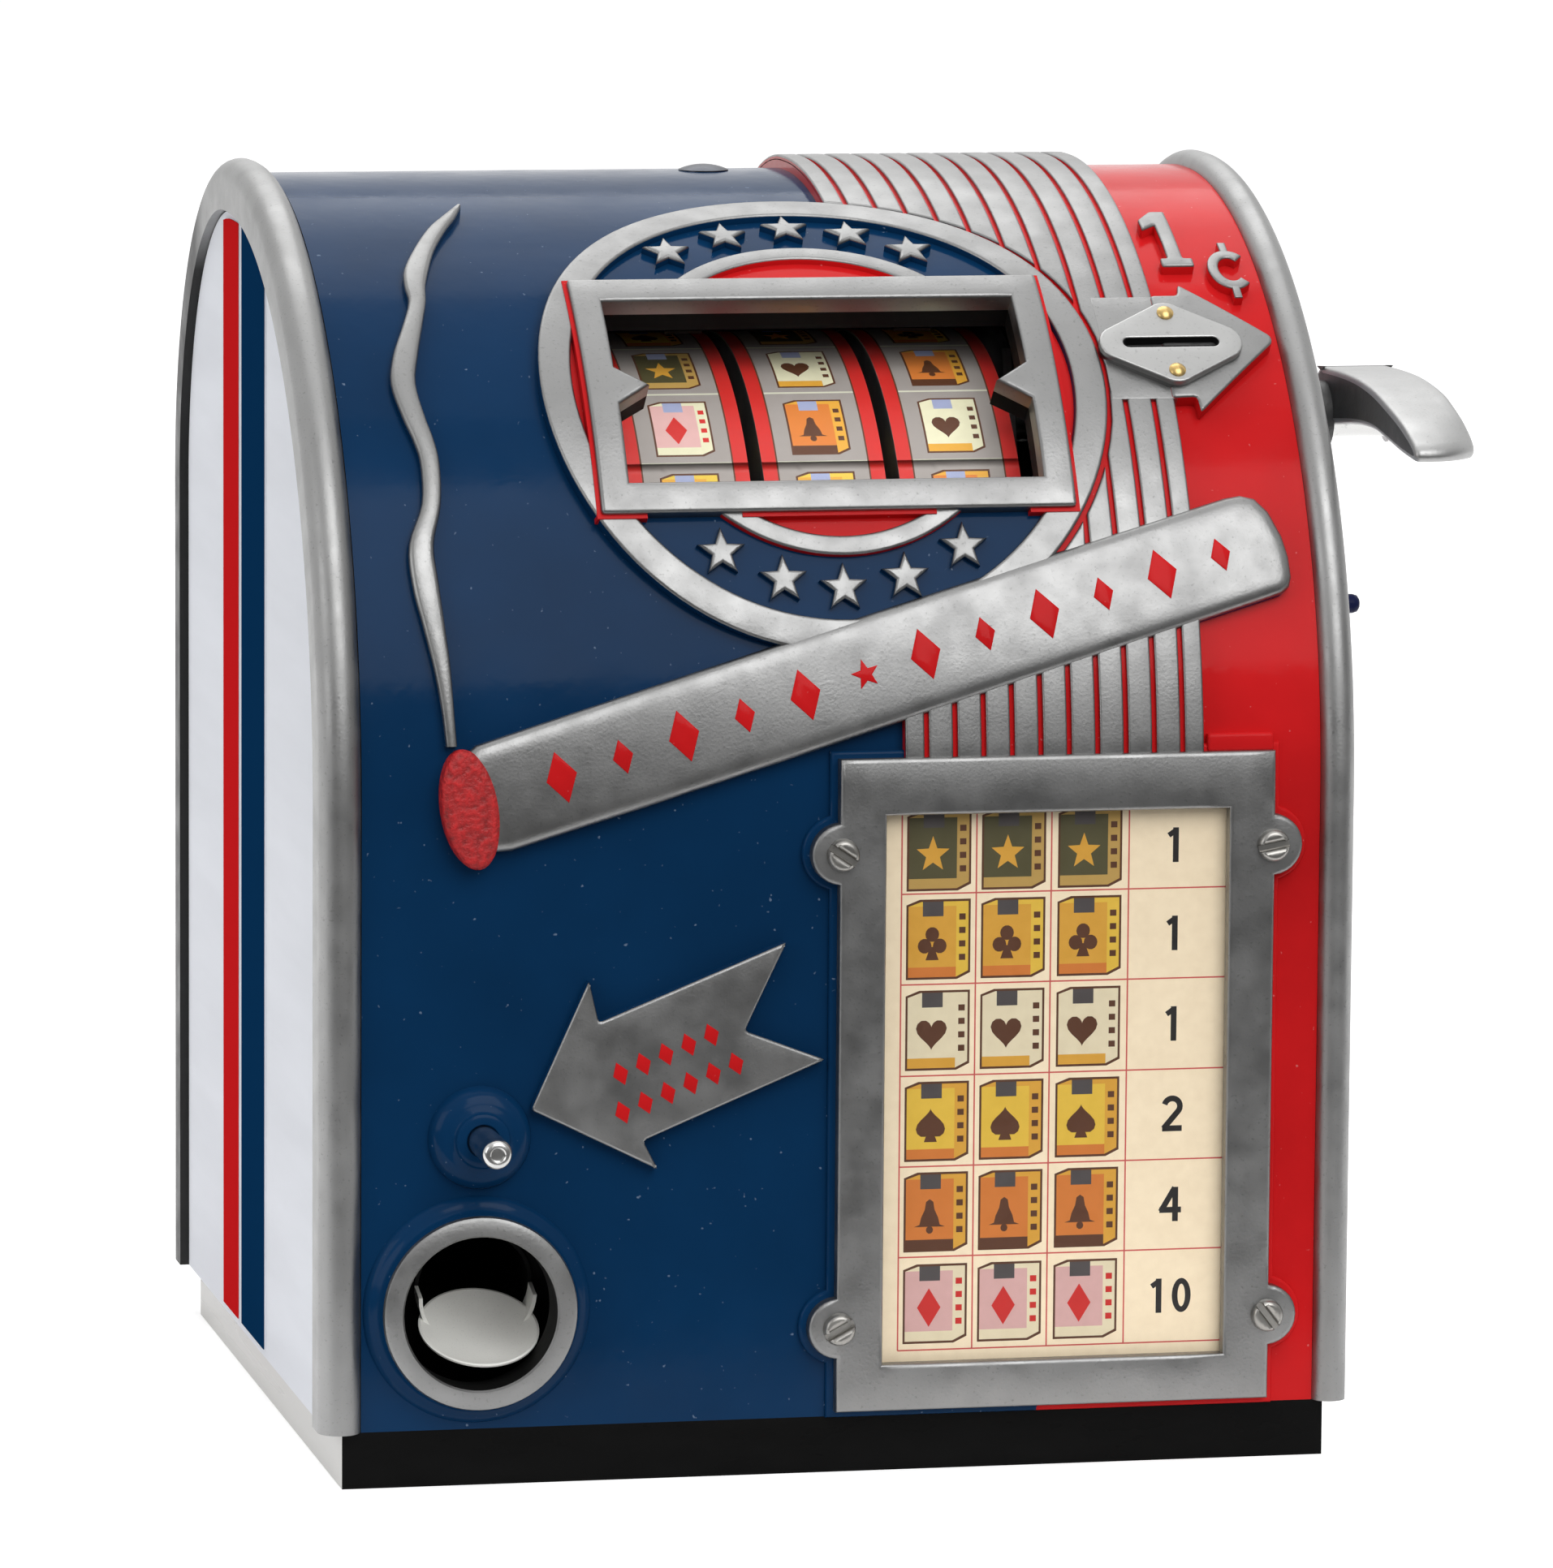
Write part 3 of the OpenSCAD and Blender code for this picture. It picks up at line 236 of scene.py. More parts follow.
def tangent_point(place):
    """Returns a lay function for the flat that touches the hood at place."""
    x0, s0 = place
    foot = hood_point(x0, s0, 0)
    out = hood_point(x0, s0, 1) - foot
    along = hood_point(x0, s0 + 0.5, 0) - hood_point(x0, s0 - 0.5, 0)

    def lay(u, v, h):
        return foot + Vector((u * MM, 0, 0)) + along * v + out * h

    return lay


def dense(loop, step):
    """The closed outline with no edge longer than step."""
    out = []
    for (ax, ay), (bx, by) in zip(loop, loop[1:] + loop[:1]):
        count = max(1, math.ceil(math.hypot(bx - ax, by - ay) / step))
        out += [(ax + (bx - ax) * k / count, ay + (by - ay) * k / count) for k in range(count)]
    return out


def area(loop):
    """Area of the outline, above zero when it runs counter-clockwise."""
    return sum(a[0] * b[1] - b[0] * a[1] for a, b in zip(loop, loop[1:] + loop[:1])) / 2


def turned(loop, hole=False):
    """The outline counter-clockwise, or clockwise for a hole."""
    return loop if (area(loop) > 0) != hole else loop[::-1]


def ellipse(cx, cy, rx, ry=None, count=48, start=0.0, sweep=360.0, tilt=0.0):
    """Points on an ellipse or a part of one."""
    ry = rx if ry is None else ry
    steps = count if abs(sweep) >= 360 else count - 1
    out = []
    for k in range(count):
        a = math.radians(start + sweep * k / steps)
        u, v = rx * math.cos(a), ry * math.sin(a)
        c, s = math.cos(math.radians(tilt)), math.sin(math.radians(tilt))
        out.append((cx + u * c - v * s, cy + u * s + v * c))
    return out


def oblong(x0, y0, x1, y1):
    """Outline of an oblong between two corners."""
    return [(x0, y0), (x1, y0), (x1, y1), (x0, y1)]


def star(cx, cy, r, tilt=0.0, inner=0.42, arms=5):
    """Outline of a star with one arm pointing up."""
    out = []
    for k in range(2 * arms):
        a = math.radians(90 + tilt + k * 180 / arms)
        q = r if k % 2 == 0 else r * inner
        out.append((cx + q * math.cos(a), cy + q * math.sin(a)))
    return out


def rounded(loop, r, count=5):
    """The outline with every corner rounded by about r."""
    out = []
    n = len(loop)
    for i, p in enumerate(loop):
        a, b = Vector(loop[i - 1]), Vector(loop[(i + 1) % n])
        p = Vector(p)
        ua, ub = (a - p), (b - p)
        cut = min(r, ua.length * 0.45, ub.length * 0.45)
        start, end = p + ua.normalized() * cut, p + ub.normalized() * cut
        for k in range(count):
            t = k / (count - 1)
            q = start * (1 - t) ** 2 + p * 2 * t * (1 - t) + end * t**2
            out.append((q.x, q.y))
    return out


def smooth(points, count):
    """An open line through the points, each span cut into count steps."""
    out = []
    n = len(points)
    for i in range(n - 1):
        p0, p1, p2, p3 = (np.array(points[min(max(i + k, 0), n - 1)], float) for k in (-1, 0, 1, 2))
        bend = 2 * p0 - 5 * p1 + 4 * p2 - p3
        twist = 3 * p1 - p0 - 3 * p2 + p3
        for k in range(count):
            t = k / count
            out.append(tuple((2 * p1 + (p2 - p0) * t + bend * t**2 + twist * t**3) / 2))
    return out + [tuple(points[-1])]


def inset(loop, d):
    """The outline moved by d to its left, which is into the solid."""
    if abs(d) < 1e-9:
        return loop
    out = []
    n = len(loop)
    for i in range(n):
        p = Vector(loop[i])
        a, b = (p - Vector(loop[i - 1])), (Vector(loop[(i + 1) % n]) - p)
        a, b = a.normalized(), b.normalized()
        na, nb = Vector((-a.y, a.x)), Vector((-b.y, b.x))
        m = na + nb
        m = m.normalized() if m.length > 1e-6 else na
        q = p + m * (d / max(0.45, m.dot(na)))
        out.append((q.x, q.y))
    return out


def within(points, loop):
    """For each point, whether it lies inside the outline."""
    x, y = points[:, 0], points[:, 1]
    hit = np.zeros(len(points), bool)
    lp = np.asarray(loop)
    low, high = lp.min(0), lp.max(0)
    near = (x >= low[0]) & (x <= high[0]) & (y >= low[1]) & (y <= high[1])
    xs, ys = x[near], y[near]
    part = np.zeros(len(xs), bool)
    for (ax, ay), (bx, by) in zip(lp, np.roll(lp, -1, axis=0)):
        if ay == by:
            continue
        cross = ((ay > ys) != (by > ys)) & (xs < (bx - ax) * (ys - ay) / (by - ay) + ax)
        part ^= cross
    hit[near] = part
    return hit


def filled(loops, pitch, marks=()):
    """Triangles that fill the outer outline less the holes, and follow the marks' edges."""
    points, edges = [], []
    for loop in list(loops) + list(marks):
        base, n = len(points), len(loop)
        points += [Vector(p) for p in loop]
        edges += [(base + i, base + (i + 1) % n) for i in range(n)]
    if pitch:
        lp = np.asarray(loops[0])
        low, high = lp.min(0), lp.max(0)
        xs = np.linspace(low[0], high[0], max(2, math.ceil((high[0] - low[0]) / pitch)) + 1)[1:-1]
        ys = np.linspace(low[1], high[1], max(2, math.ceil((high[1] - low[1]) / pitch)) + 1)[1:-1]
        grid = np.array([(x, y) for x in xs for y in ys])
        keep = within(grid, loops[0])
        for hole in loops[1:]:
            keep &= ~within(grid, hole)
        rim = np.asarray([tuple(p) for p in points])
        for p in grid[keep]:
            if np.min(np.abs(rim - p).max(1)) > 0.35 * pitch:
                points.append(Vector(p))
    verts, _, faces, _, _, _ = delaunay_2d_cdt(points, edges, [], 0, 1e-5)
    co = np.array([tuple(v) for v in verts])
    middle = np.array([co[list(f)].mean(0) for f in faces])
    keep = within(middle, loops[0])
    for hole in loops[1:]:
        keep &= ~within(middle, hole)
    tris = [list(f) for f, k in zip(faces, keep) if k]
    return co, [t if area([tuple(co[i]) for i in t]) > 0 else t[::-1] for t in tris], middle[keep]


# Solid pieces from flat outlines


def round_edge(top, r, foot=-0.5, steps=4):
    """Profile of a plate: foot, flank and an edge rounded by r, as inset and height."""
    out = [(0.0, foot), (0.0, top - r)]
    for k in range(1, steps + 1):
        a = math.pi / 2 * k / steps
        out.append((r * (1 - math.cos(a)), top - r + r * math.sin(a)))
    return out


def plate(bm, loops, profile, lay=hood_point, pitch=4.0, flank=0, top=1, painted=None, back=None):
    """Adds a plate. The first rings of its flank, as many as painted, have the flank's finish."""
    painted = len(profile) - 2 if painted is None else painted
    back = flank if back is None else back
    rings = []
    for d, h in profile:
        rings.append([[bm.verts.new(lay(x, s, h)) for x, s in inset(loop, d)] for loop in loops])
    for k, (low, high) in enumerate(zip(rings, rings[1:])):
        for a, b in zip(low, high):
            n = len(a)
            for i in range(n):
                j = (i + 1) % n
                face = bm.faces.new((a[i], a[j], b[j], b[i]))
                face.material_index = flank if k < painted or not isinstance(top, int) else top
    for level, finish, flip in ((-1, top, False), (0, back, True)):
        d, h = profile[level]
        co, tris, middle = filled([inset(loop, d) for loop in loops], pitch)
        verts = [bm.verts.new(lay(x, s, h)) for x, s in co]
        for t, m in zip(tris, middle):
            face = bm.faces.new([verts[i] for i in (t[::-1] if flip else t)])
            face.material_index = finish if isinstance(finish, int) else finish(*m)
    loose = [v for v in bm.verts if not v.link_faces]
    bmesh.ops.delete(bm, geom=loose, context="VERTS")


def lathe(bm, profile, lay, count=48, finish=0):
    """Adds a turned piece from radius and height pairs; finish may depend on the step."""
    rings = []
    for r, h in profile:
        if r < 1e-6:
            rings.append([bm.verts.new(lay(0, 0, h))])
        else:
            rings.append([bm.verts.new(lay(x, y, h)) for x, y in ellipse(0, 0, r, count=count)])
    for k, (a, b) in enumerate(zip(rings, rings[1:])):
        for i in range(count):
            j = (i + 1) % count
            ring = [a[i % len(a)], a[j % len(a)], b[j % len(b)], b[i % len(b)]]
            corners = list(dict.fromkeys(ring))
            if len(corners) > 2:
                bm.faces.new(corners).material_index = finish if isinstance(finish, int) else finish(k)


def sweep(bm, section, stations, lay, finish=0):
    """Adds a bar: a section of X and height pairs carried along the stations; both ends are capped."""
    rings = [[bm.verts.new(lay(x, s, h)) for x, h in section] for s in stations]
    n = len(section)
    for a, b in zip(rings, rings[1:]):
        for i in range(n):
            j = (i + 1) % n
            face = bm.faces.new((a[j], a[i], b[i], b[j]))
            face.material_index = finish if isinstance(finish, int) else finish(i)
    for cap in (rings[0], rings[-1][::-1]):
        bm.faces.new(cap).material_index = finish if isinstance(finish, int) else 0


def coil(bm, radius, wire, length, turns, lay):
    """Adds a wire wound round the height axis, from zero up to length."""
    rise = (length - wire) / turns

    def wound(x, s, h):
        angle = math.tau * s
        return lay((radius + x) * math.cos(angle), (radius + x) * math.sin(angle), wire / 2 + s * rise + h)

    steps = 20
    sweep(bm, ellipse(0, 0, wire / 2, count=8), [k / steps for k in range(steps * turns + 1)], wound)


def piece(name, bm, finishes, body, replaces=(), sharp=38):
    """Turns the mesh into a piece that rides on a body, with its finishes by name."""
    bmesh.ops.remove_doubles(bm, verts=bm.verts, dist=2e-6)
    mesh = bpy.data.meshes.new(name)
    bm.to_mesh(mesh)
    bm.free()
    for finish in finishes:
        mesh.materials.append(FINISH[finish])
    mesh.shade_smooth()
    mesh.set_sharp_from_angle(angle=math.radians(sharp))
    obj = bpy.data.objects.new(name, mesh)
    bpy.context.scene.collection.objects.link(obj)
    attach(obj, body)
    if replaces:
        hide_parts(*replaces)
    return obj


def relief(name, bm, finishes, sharp=38):
    """A piece of the hood's own casting."""
    return piece(name, bm, finishes, "case", ["hood"], sharp)


def lozenge(at, along, across, half_length, half_width):
    """Outline of a lozenge about a place, with its axes along two directions."""
    corners = ((0, -half_width), (half_length, 0), (0, half_width), (-half_length, 0))
    return [tuple(at + along * u + across * v) for u, v in corners]


def along_hood(s0, s1, step=4.0):
    """Stations along the hood's profile, close on the bends and on its joints."""
    marks = [s0] + [m for m in (UPRIGHT, S_FRONT, S_FLAT, S_REAR) if s0 < m < s1] + [s1]
    out = []
    for a, b in zip(marks, marks[1:]):
        count = max(1, math.ceil((b - a) / step))
        out += [a + (b - a) * k / count for k in range(count)]
    return out + [s1]


# Finishes


def shade(colour, factor):
    """The colour made darker or lighter by a factor."""
    return tuple(min(1.0, c * factor) for c in colour)


class Mixer:
    """A node tree, with short ways to add what the finishes and the studio's light share."""

    def __init__(self, tree):
        self.tree = tree

    def put(self, value, socket):
        """Links the value if it is a socket, or else sets it as a constant."""
        if hasattr(value, "is_linked"):
            self.tree.links.new(value, socket)
        else:
            socket.default_value = value

    def node(self, kind, **inputs):
        """A new node with some of its inputs set or linked."""
        node = self.tree.nodes.new("ShaderNode" + kind)
        for name, value in inputs.items():
            self.put(value, node.inputs[name])
        return node

    def split(self, vector):
        """The X, Y and Z of a vector."""
        return self.node("SeparateXYZ", Vector=vector).outputs

    def math(self, operation, *values):
        """One number from one or two sockets."""
        node = self.node("Math")
        node.operation = operation
        for value, socket in zip(values, node.inputs):
            self.put(value, socket)
        return node.outputs[0]

    def ranged(self, value, low, high, start=0.3, end=0.7):
        """The value spread from start and end to low and high."""
        ends = {"From Min": start, "From Max": end, "To Min": low, "To Max": high}
        return self.node("MapRange", Value=value, **ends).outputs["Result"]

    def mixed(self, factor, a, b, blend="MIX"):
        """Colour between a and b; each is a colour or a socket."""
        node = self.node("Mix")
        node.data_type, node.blend_type = "RGBA", blend
        self.put(factor, node.inputs[0])
        for colour, socket in ((a, node.inputs[6]), (b, node.inputs[7])):
            self.put(colour if hasattr(colour, "is_linked") else (*colour, 1.0), socket)
        return node.outputs[2]


class Finish(Mixer):
    """A new material with its shader and the place on the piece."""

    def __init__(self, name):
        self.material = bpy.data.materials.new(name)
        self.material.use_nodes = True
        super().__init__(self.material.node_tree)
        self.shader = self.tree.nodes["Principled BSDF"]
        self.place = self.node("TexCoord").outputs["Object"]

    def look(self, name, value):
        """Sets or links one of the shader's inputs."""
        self.put(value, self.shader.inputs[name])

    def noise(self, scale, detail=3.0, stretch=None):
        """A noise texture over the piece; stretch scales its axes."""
        place = self.place
        if stretch:
            place = self.node("Mapping", Vector=place, Scale=stretch).outputs["Vector"]
        return self.node("TexNoise", Vector=place, Scale=scale, Detail=detail).outputs["Fac"]

    def toned(self, value, colour, low, high):
        """The colour, made darker and lighter by the value."""
        return self.mixed(self.ranged(value, 0, 1), shade(colour, low), shade(colour, high))

    def bumped(self, height, strength, distance):
        """Lets the height roughen the surface."""
        node = self.node("Bump", Height=height, Strength=strength, Distance=distance)
        self.look("Normal", node.outputs["Normal"])


def enamel(name, colour, dust=(0.5, 0.5, 0.5), gloss=(0.08, 0.2), shine=0.07):
    """Glossy paint over a casting: slow tone changes, orange peel, dull patches and specks of dust."""
    f = Finish(name)
    tone = f.toned(f.noise(26, 4), colour, 0.86, 1.1)
    spots = f.ranged(f.noise(820, 1), 0, 0.45, 0.76, 0.82)
    f.look("Base Color", f.mixed(spots, tone, dust))
    f.look("Roughness", f.ranged(f.noise(75, 5), *gloss))
    f.look("Specular IOR Level", shine)
    f.bumped(f.noise(240, 2), 0.10, 0.0004)
    return f.material


def metal(name, colour, rough=(0.33, 0.48), grain=1500.0, depth=0.12, body=1.0, painted_shade_y=None):
    """Bare metal with a sanded grain, cloudy tone and dull patches; the last argument gives the span along Y
    past which it turns dark, as painted shade.
    """
    f = Finish(name)
    fine = f.noise(grain, 2)
    tone = f.toned(f.noise(45, 5), colour, 0.92, 1.04)
    tone = f.mixed(f.ranged(fine, 0.0, 0.55, 0.62, 0.78), tone, shade(colour, 0.5))
    # Painted shade: the metal turns dark past a span along Y
    if painted_shade_y:
        rear = f.ranged(f.split(f.place)["Y"], 0, 1, *painted_shade_y)
        tone = f.mixed(rear, tone, shade(colour, 0.12))
    f.look("Base Color", tone)
    f.look("Metallic", body)
    f.look("Roughness", f.ranged(f.noise(130, 4), *rough))
    f.bumped(fine, depth, 0.0003)
    return f.material


def board(name, front, side):
    """Lacquered wood: the front's colour on faces to the front, back and top, and the side's on the ends."""
    f = Finish(name)
    normal = f.node("NewGeometry").outputs["True Normal"]
    ends = f.ranged(f.math("ABSOLUTE", f.split(normal)["X"]), 0, 1, 0.55, 0.75)
    fibre = f.noise(60, 5, (1.0, 0.12, 2.5))
    f.look("Base Color", f.mixed(ends, f.toned(fibre, front, 0.8, 1.5), f.toned(fibre, side, 0.88, 1.0)))
    f.look("Roughness", f.ranged(fibre, 0.22, 0.42))
    f.look("Specular IOR Level", 0.05)
    f.bumped(fibre, 0.25, 0.0006)
    return f.material


def banded(name, white, blue, red):
    """Satin white for the sides, with the raised bands in blue and red."""
    face, middle, blur = 0.1093, 0.0, 0.0001
    f = Finish(name)
    parts = f.split(f.place)
    raised = f.ranged(f.math("ABSOLUTE", parts["X"]), 0, 1, face, face + blur)
    rear = f.ranged(parts["Y"], 0, 1, middle, middle + blur)
    streak = f.noise(40, 5, (1.0, 0.25, 2.0))
    f.look("Base Color", f.mixed(raised, f.toned(streak, white, 0.93, 1.0), f.mixed(rear, blue, red)))
    f.look("Roughness", f.ranged(streak, 0.4, 0.6))
    f.look("Specular IOR Level", 0.0)
    f.bumped(f.noise(300, 3), 0.08, 0.0003)
    return f.material


def printed(name):
    """Paper with the inks that its faces carry."""
    f = Finish(name)
    ink = f.node("Attribute")
    ink.attribute_name = "ink"
    fibre = f.noise(420, 4)
    tone = f.mixed(f.ranged(fibre, 0, 1), (0.95, 0.94, 0.93), (1.0, 1.0, 1.0))
    f.look("Base Color", f.mixed(1.0, ink.outputs["Color"], tone, "MULTIPLY"))
    f.look("Roughness", f.ranged(fibre, 0.42, 0.6))
    f.bumped(fibre, 0.08, 0.0002)
    return f.material


def glass(name):
    """Thin clear glass with a faint haze."""
    f = Finish(name)
    clear = f.node("BsdfTransparent", Color=(1, 1, 1, 1))
    gleam = f.node("BsdfGlossy", Roughness=f.ranged(f.noise(38, 4), 0.02, 0.08))
    front = f.ranged(f.node("NewGeometry").outputs["Backfacing"], 1, 0, 0, 1)
    edge = f.math("MULTIPLY", f.node("Fresnel", IOR=1.1).outputs[0], front)
    pane = f.node("MixShader")
    for value, socket in zip((edge, clear.outputs[0], gleam.outputs[0]), pane.inputs):
        f.put(value, socket)
    f.tree.nodes.remove(f.shader)
    f.put(pane.outputs[0], f.tree.nodes["Material Output"].inputs["Surface"])
    return f.material


def ember(name, colour):
    """Rough glowing tip in matt red."""
    f = Finish(name)
    ash = f.noise(620, 4)
    f.look("Base Color", f.toned(ash, colour, 0.45, 1.05))
    f.look("Roughness", f.ranged(ash, 0.4, 0.7))
    f.bumped(ash, 0.9, 0.0012)
    return f.material


FINISH = {}


class STIMULATOR_OT_finishes(bpy.types.Operator):
    """Mix the paints, metals and papers"""

    bl_idname = "stimulator.finishes"
    bl_label = "Finishes"

    def execute(self, context):
        c = context.scene.stimulator_finishes
        blue, red, white, bare = tuple(c.blue), tuple(c.red), tuple(c.white), tuple(c.aluminium)
        FINISH["blue"] = enamel("blue_enamel", blue, (0.25, 0.33, 0.45))
        FINISH["red"] = enamel("red_enamel", red, (0.75, 0.3, 0.3))
        FINISH["aluminium"] = metal("bare_aluminium", bare)
        # The rims' rear part is darkened as painted shade
        FINISH["rim"] = metal("rim_aluminium", shade(bare, 1.18), (0.38, 0.52), painted_shade_y=(0.040, 0.056))
        FINISH["cast"] = metal("raw_casting", (0.16, 0.16, 0.16), (0.5, 0.7), 700, 0.3)
        # Black that stands in for shade inside the window, slot, gum opening and chute, and on the glass
        # clips: painted shade
        FINISH["black"] = enamel("painted_shade_black", (0.006, 0.006, 0.006), (0.05, 0.05, 0.05), (0.5, 0.7))
        FINISH["steel"] = metal("bright_steel", (0.62, 0.62, 0.61), (0.16, 0.3), 900, 0.05)
        FINISH["screw"] = metal("screw_steel", (0.36, 0.35, 0.33), (0.28, 0.42), 900, 0.05)
        FINISH["sheet"] = metal("zinc_sheet", (0.5, 0.51, 0.52), (0.3, 0.5), 300, 0.06)
        FINISH["dark"] = metal("blued_steel", (0.06, 0.065, 0.08), (0.25, 0.4), 900, 0.08)
        FINISH["brass"] = metal("brass", (0.62, 0.43, 0.17), (0.22, 0.4), 900, 0.06)
        # Near-white and almost unmetallic, to stand in for the light the dish gets: painted light
        FINISH["dish"] = metal("lit_satin_dish", (0.97, 0.96, 0.91), (0.36, 0.5), 4000, 0.02, body=0.05)
        FINISH["drum"] = metal("reel_drum", (0.20, 0.20, 0.21), (0.4, 0.6), 600, 0.08)
        FINISH["plate"] = metal("satin_plate", (0.42, 0.42, 0.415), (0.34, 0.46), 1300, 0.06)
        FINISH["door"] = enamel("grey_enamel", (0.22, 0.23, 0.24), (0.4, 0.4, 0.4), (0.3, 0.5))
        FINISH["sides"] = banded("side_paint", white, blue, red)
        FINISH["plinth"] = board("plinth_board", (0.003, 0.003, 0.003), (0.72, 0.71, 0.69))
        FINISH["paper"] = printed("printed_paper")
        FINISH["glass"] = glass("window_pane")
        FINISH["ember"] = ember("ember_tip", red)
        FINISH["lever"] = metal("lever_aluminium", shade(bare, 1.55), (0.38, 0.52))
        # A darker copy of the bare aluminium, as painted shade on the lever's inner face and hub
        FINISH["shade"] = metal("painted_shade_aluminium", shade(bare, 0.36), (0.4, 0.55))
        FINISH["button"] = enamel("button_blue", (0.012, 0.016, 0.06))
        return {"FINISHED"}


# The cast hood


def rim_section(side):
    """Section of a rim: X and height pairs round its rounded nose."""
    ground = HALF_GROUND if side < 0 else RIGHT_GROUND
    width = HALF_CASE - ground
    nose = RIM_RISE - width / 2
    arc = ellipse(HALF_CASE - width / 2, nose, width / 2, count=15, start=0, sweep=180)
    points = [(HALF_CASE, -RIM_IN)] + arc + [(ground, -RIM_IN)]
    return points if side > 0 else [(-x, h) for x, h in points[::-1]]


def window_hole(grow=0.0):
    """Outline of the reel window with its two pointers."""
    w, v, nose, half = 44.5 + grow, 23.0 + grow, 7.0 - grow, 4.6
    cx, cs = WINDOW
    right = [(w, -v), (w, -half), (w - nose, 0), (w, half), (w, v)]
    left = [(-x, -y) for x, y in right]
    return turned(dense([(cx + x, cs + y) for x, y in right + left], 3.0), hole=True)


def award_outline(grow=0.0, ear=6.5):
    """Outline of the award frame: an upright oblong with four round ears."""
    cx, cz = AWARD
    w, v = (half + grow for half in AWARD_HALF)
    ear_x, ear_z = AWARD_EAR
    r = ear + grow
    turn = math.degrees(math.acos(min(1.0, (w - ear_x) / r)))
    right = [(w, -v)]
    for z in (-ear_z, ear_z):
        right += ellipse(ear_x, z, r, count=15, start=-turn, sweep=2 * turn)
    right += [(w, v)]
    left = [(-x, -z) for x, z in right]
    raised = 1.8
    loop = [(cx + x, cz + z + (raised if z > v - 1 else 0)) for x, z in right + left]
    return turned(dense(loop, 6.0))


def card_outline(half_w, half_h, hole=False):
    """Outline of an upright oblong about the award card's middle."""
    cx, cz = AWARD
    return turned(dense(oblong(cx - half_w, cz - half_h, cx + half_w, cz + half_h), 8.0), hole)


def coin_cut():
    """Outline of the coin's way through the hood, about its own middle."""
    w, v = COIN_CUT
    return oblong(-w, -v, w, v)


def diamond_plate(margin):
    """Outline of the coin plate: a diamond with round corners, about its own middle."""
    w, v, r = 10.9 + margin, 6.3 + margin, 4.8
    out = ellipse(w, 0, r, count=7, start=-50, sweep=100)
    out += ellipse(0, v, r, count=7, start=50, sweep=80)
    out += ellipse(-w, 0, r, count=7, start=130, sweep=100)
    out += ellipse(0, -v, r, count=7, start=230, sweep=80)
    return turned(out)


class STIMULATOR_OT_shell(bpy.types.Operator):
    """Build the painted ground of the hood and its two rims"""

    bl_idname = "stimulator.shell"
    bl_label = "Hood shell"

    def execute(self, context):
        door_half, door_low, door_high = 96.0, 18.0, 186.0
        doorway = oblong(-door_half, S_BACK - door_high, door_half, S_BACK - door_low)
        bm = bmesh.new()
        outer = turned(dense(oblong(-HALF_GROUND, HOOD_FOOT, RIGHT_GROUND, S_END), 5.0))
        holes = [
            window_hole(2.0),
            turned(ellipse(*CUP, 17.0), hole=True),
            turned(ellipse(*PLUNGER, 3.4, count=24), hole=True),
            turned([(COIN[0] + x, COIN[1] + s) for x, s in coin_cut()], hole=True),
            turned(dense(doorway, 6.0), hole=True),
        ]
        plate(bm, [outer] + holes, [(0, -WALL), (0, 0)], pitch=5.0, flank=2, back=2,
              top=lambda x, s: 0 if x < SEAM else 1)
        relief("hood_ground", bm, ["blue", "red", "cast"])
        for side, name in ((-1, "rim_left"), (1, "rim_right")):
            bm = bmesh.new()
            sweep(bm, rim_section(side), along_hood(HOOD_FOOT, S_END), hood_point)
            relief(name, bm, ["rim"], sharp=50)
        return {"FINISHED"}


def beside_ring(x0, x1, s0, s1, r):
    """Outlines of an upright band from x0 to x1, less a disc of radius r on the ring's middle."""
    cx, cs = RING
    if x0 - cx >= r:
        return [oblong(x0, s0, x1, s1)]
    reach = min(x1 - cx, r)
    count = 2 + int(4 * (reach - (x0 - cx)) / r * 12)
    arc = [(cx + x, math.sqrt(max(r * r - x * x, 0.0))) for x in np.linspace(x0 - cx, reach, count)]
    upper = [(x, cs + rise) for x, rise in arc]
    lower = [(x, cs - rise) for x, rise in arc]
    if reach == r:
        return [[(x0, s0), (x1, s0), (x1, s1), (x0, s1)] + upper + lower[-2::-1]]
    return [upper + [(x1, s1), (x0, s1)], [(x0, s0), (x1, s0)] + lower[::-1]]


class STIMULATOR_OT_stripes(bpy.types.Operator):
    """Build the striped plate that runs over the top of the hood"""

    bl_idname = "stimulator.stripes"
    bl_label = "Striped plate"

    def execute(self, context):
        sizes = context.scene.stimulator_casting
        top = sizes.stripe_rise / MM
        floor, groove = top - 1.0, 0.95
        x0, x1 = STRIPES
        pitch = (x1 - x0) / (sizes.stripe_count + 0.5)
        cuts = [x0 + (k + 0.75) * pitch for k in range(sizes.stripe_count)]
        bm = bmesh.new()
        floor_r, rib_r = 58.0, 62.0
        for loop in beside_ring(x0, x1, STRIPE_FOOT, S_REAR, floor_r):
            plate(bm, [turned(dense(loop, 5.0))], [(0, -0.5), (0, floor)], pitch=5.0, top=0)
        starts = [x0] + [c + groove / 2 for c in cuts]
        ends = [c - groove / 2 for c in cuts] + [x1]
        for a, b in zip(starts, ends):
            for loop in beside_ring(a, b, STRIPE_FOOT, S_REAR, rib_r):
                plate(bm, [turned(dense(loop, 5.0))], round_edge(top, 0.5, floor - 0.2), pitch=5.0, painted=1)
        relief("striped_plate", bm, ["red", "aluminium"])
        return {"FINISHED"}


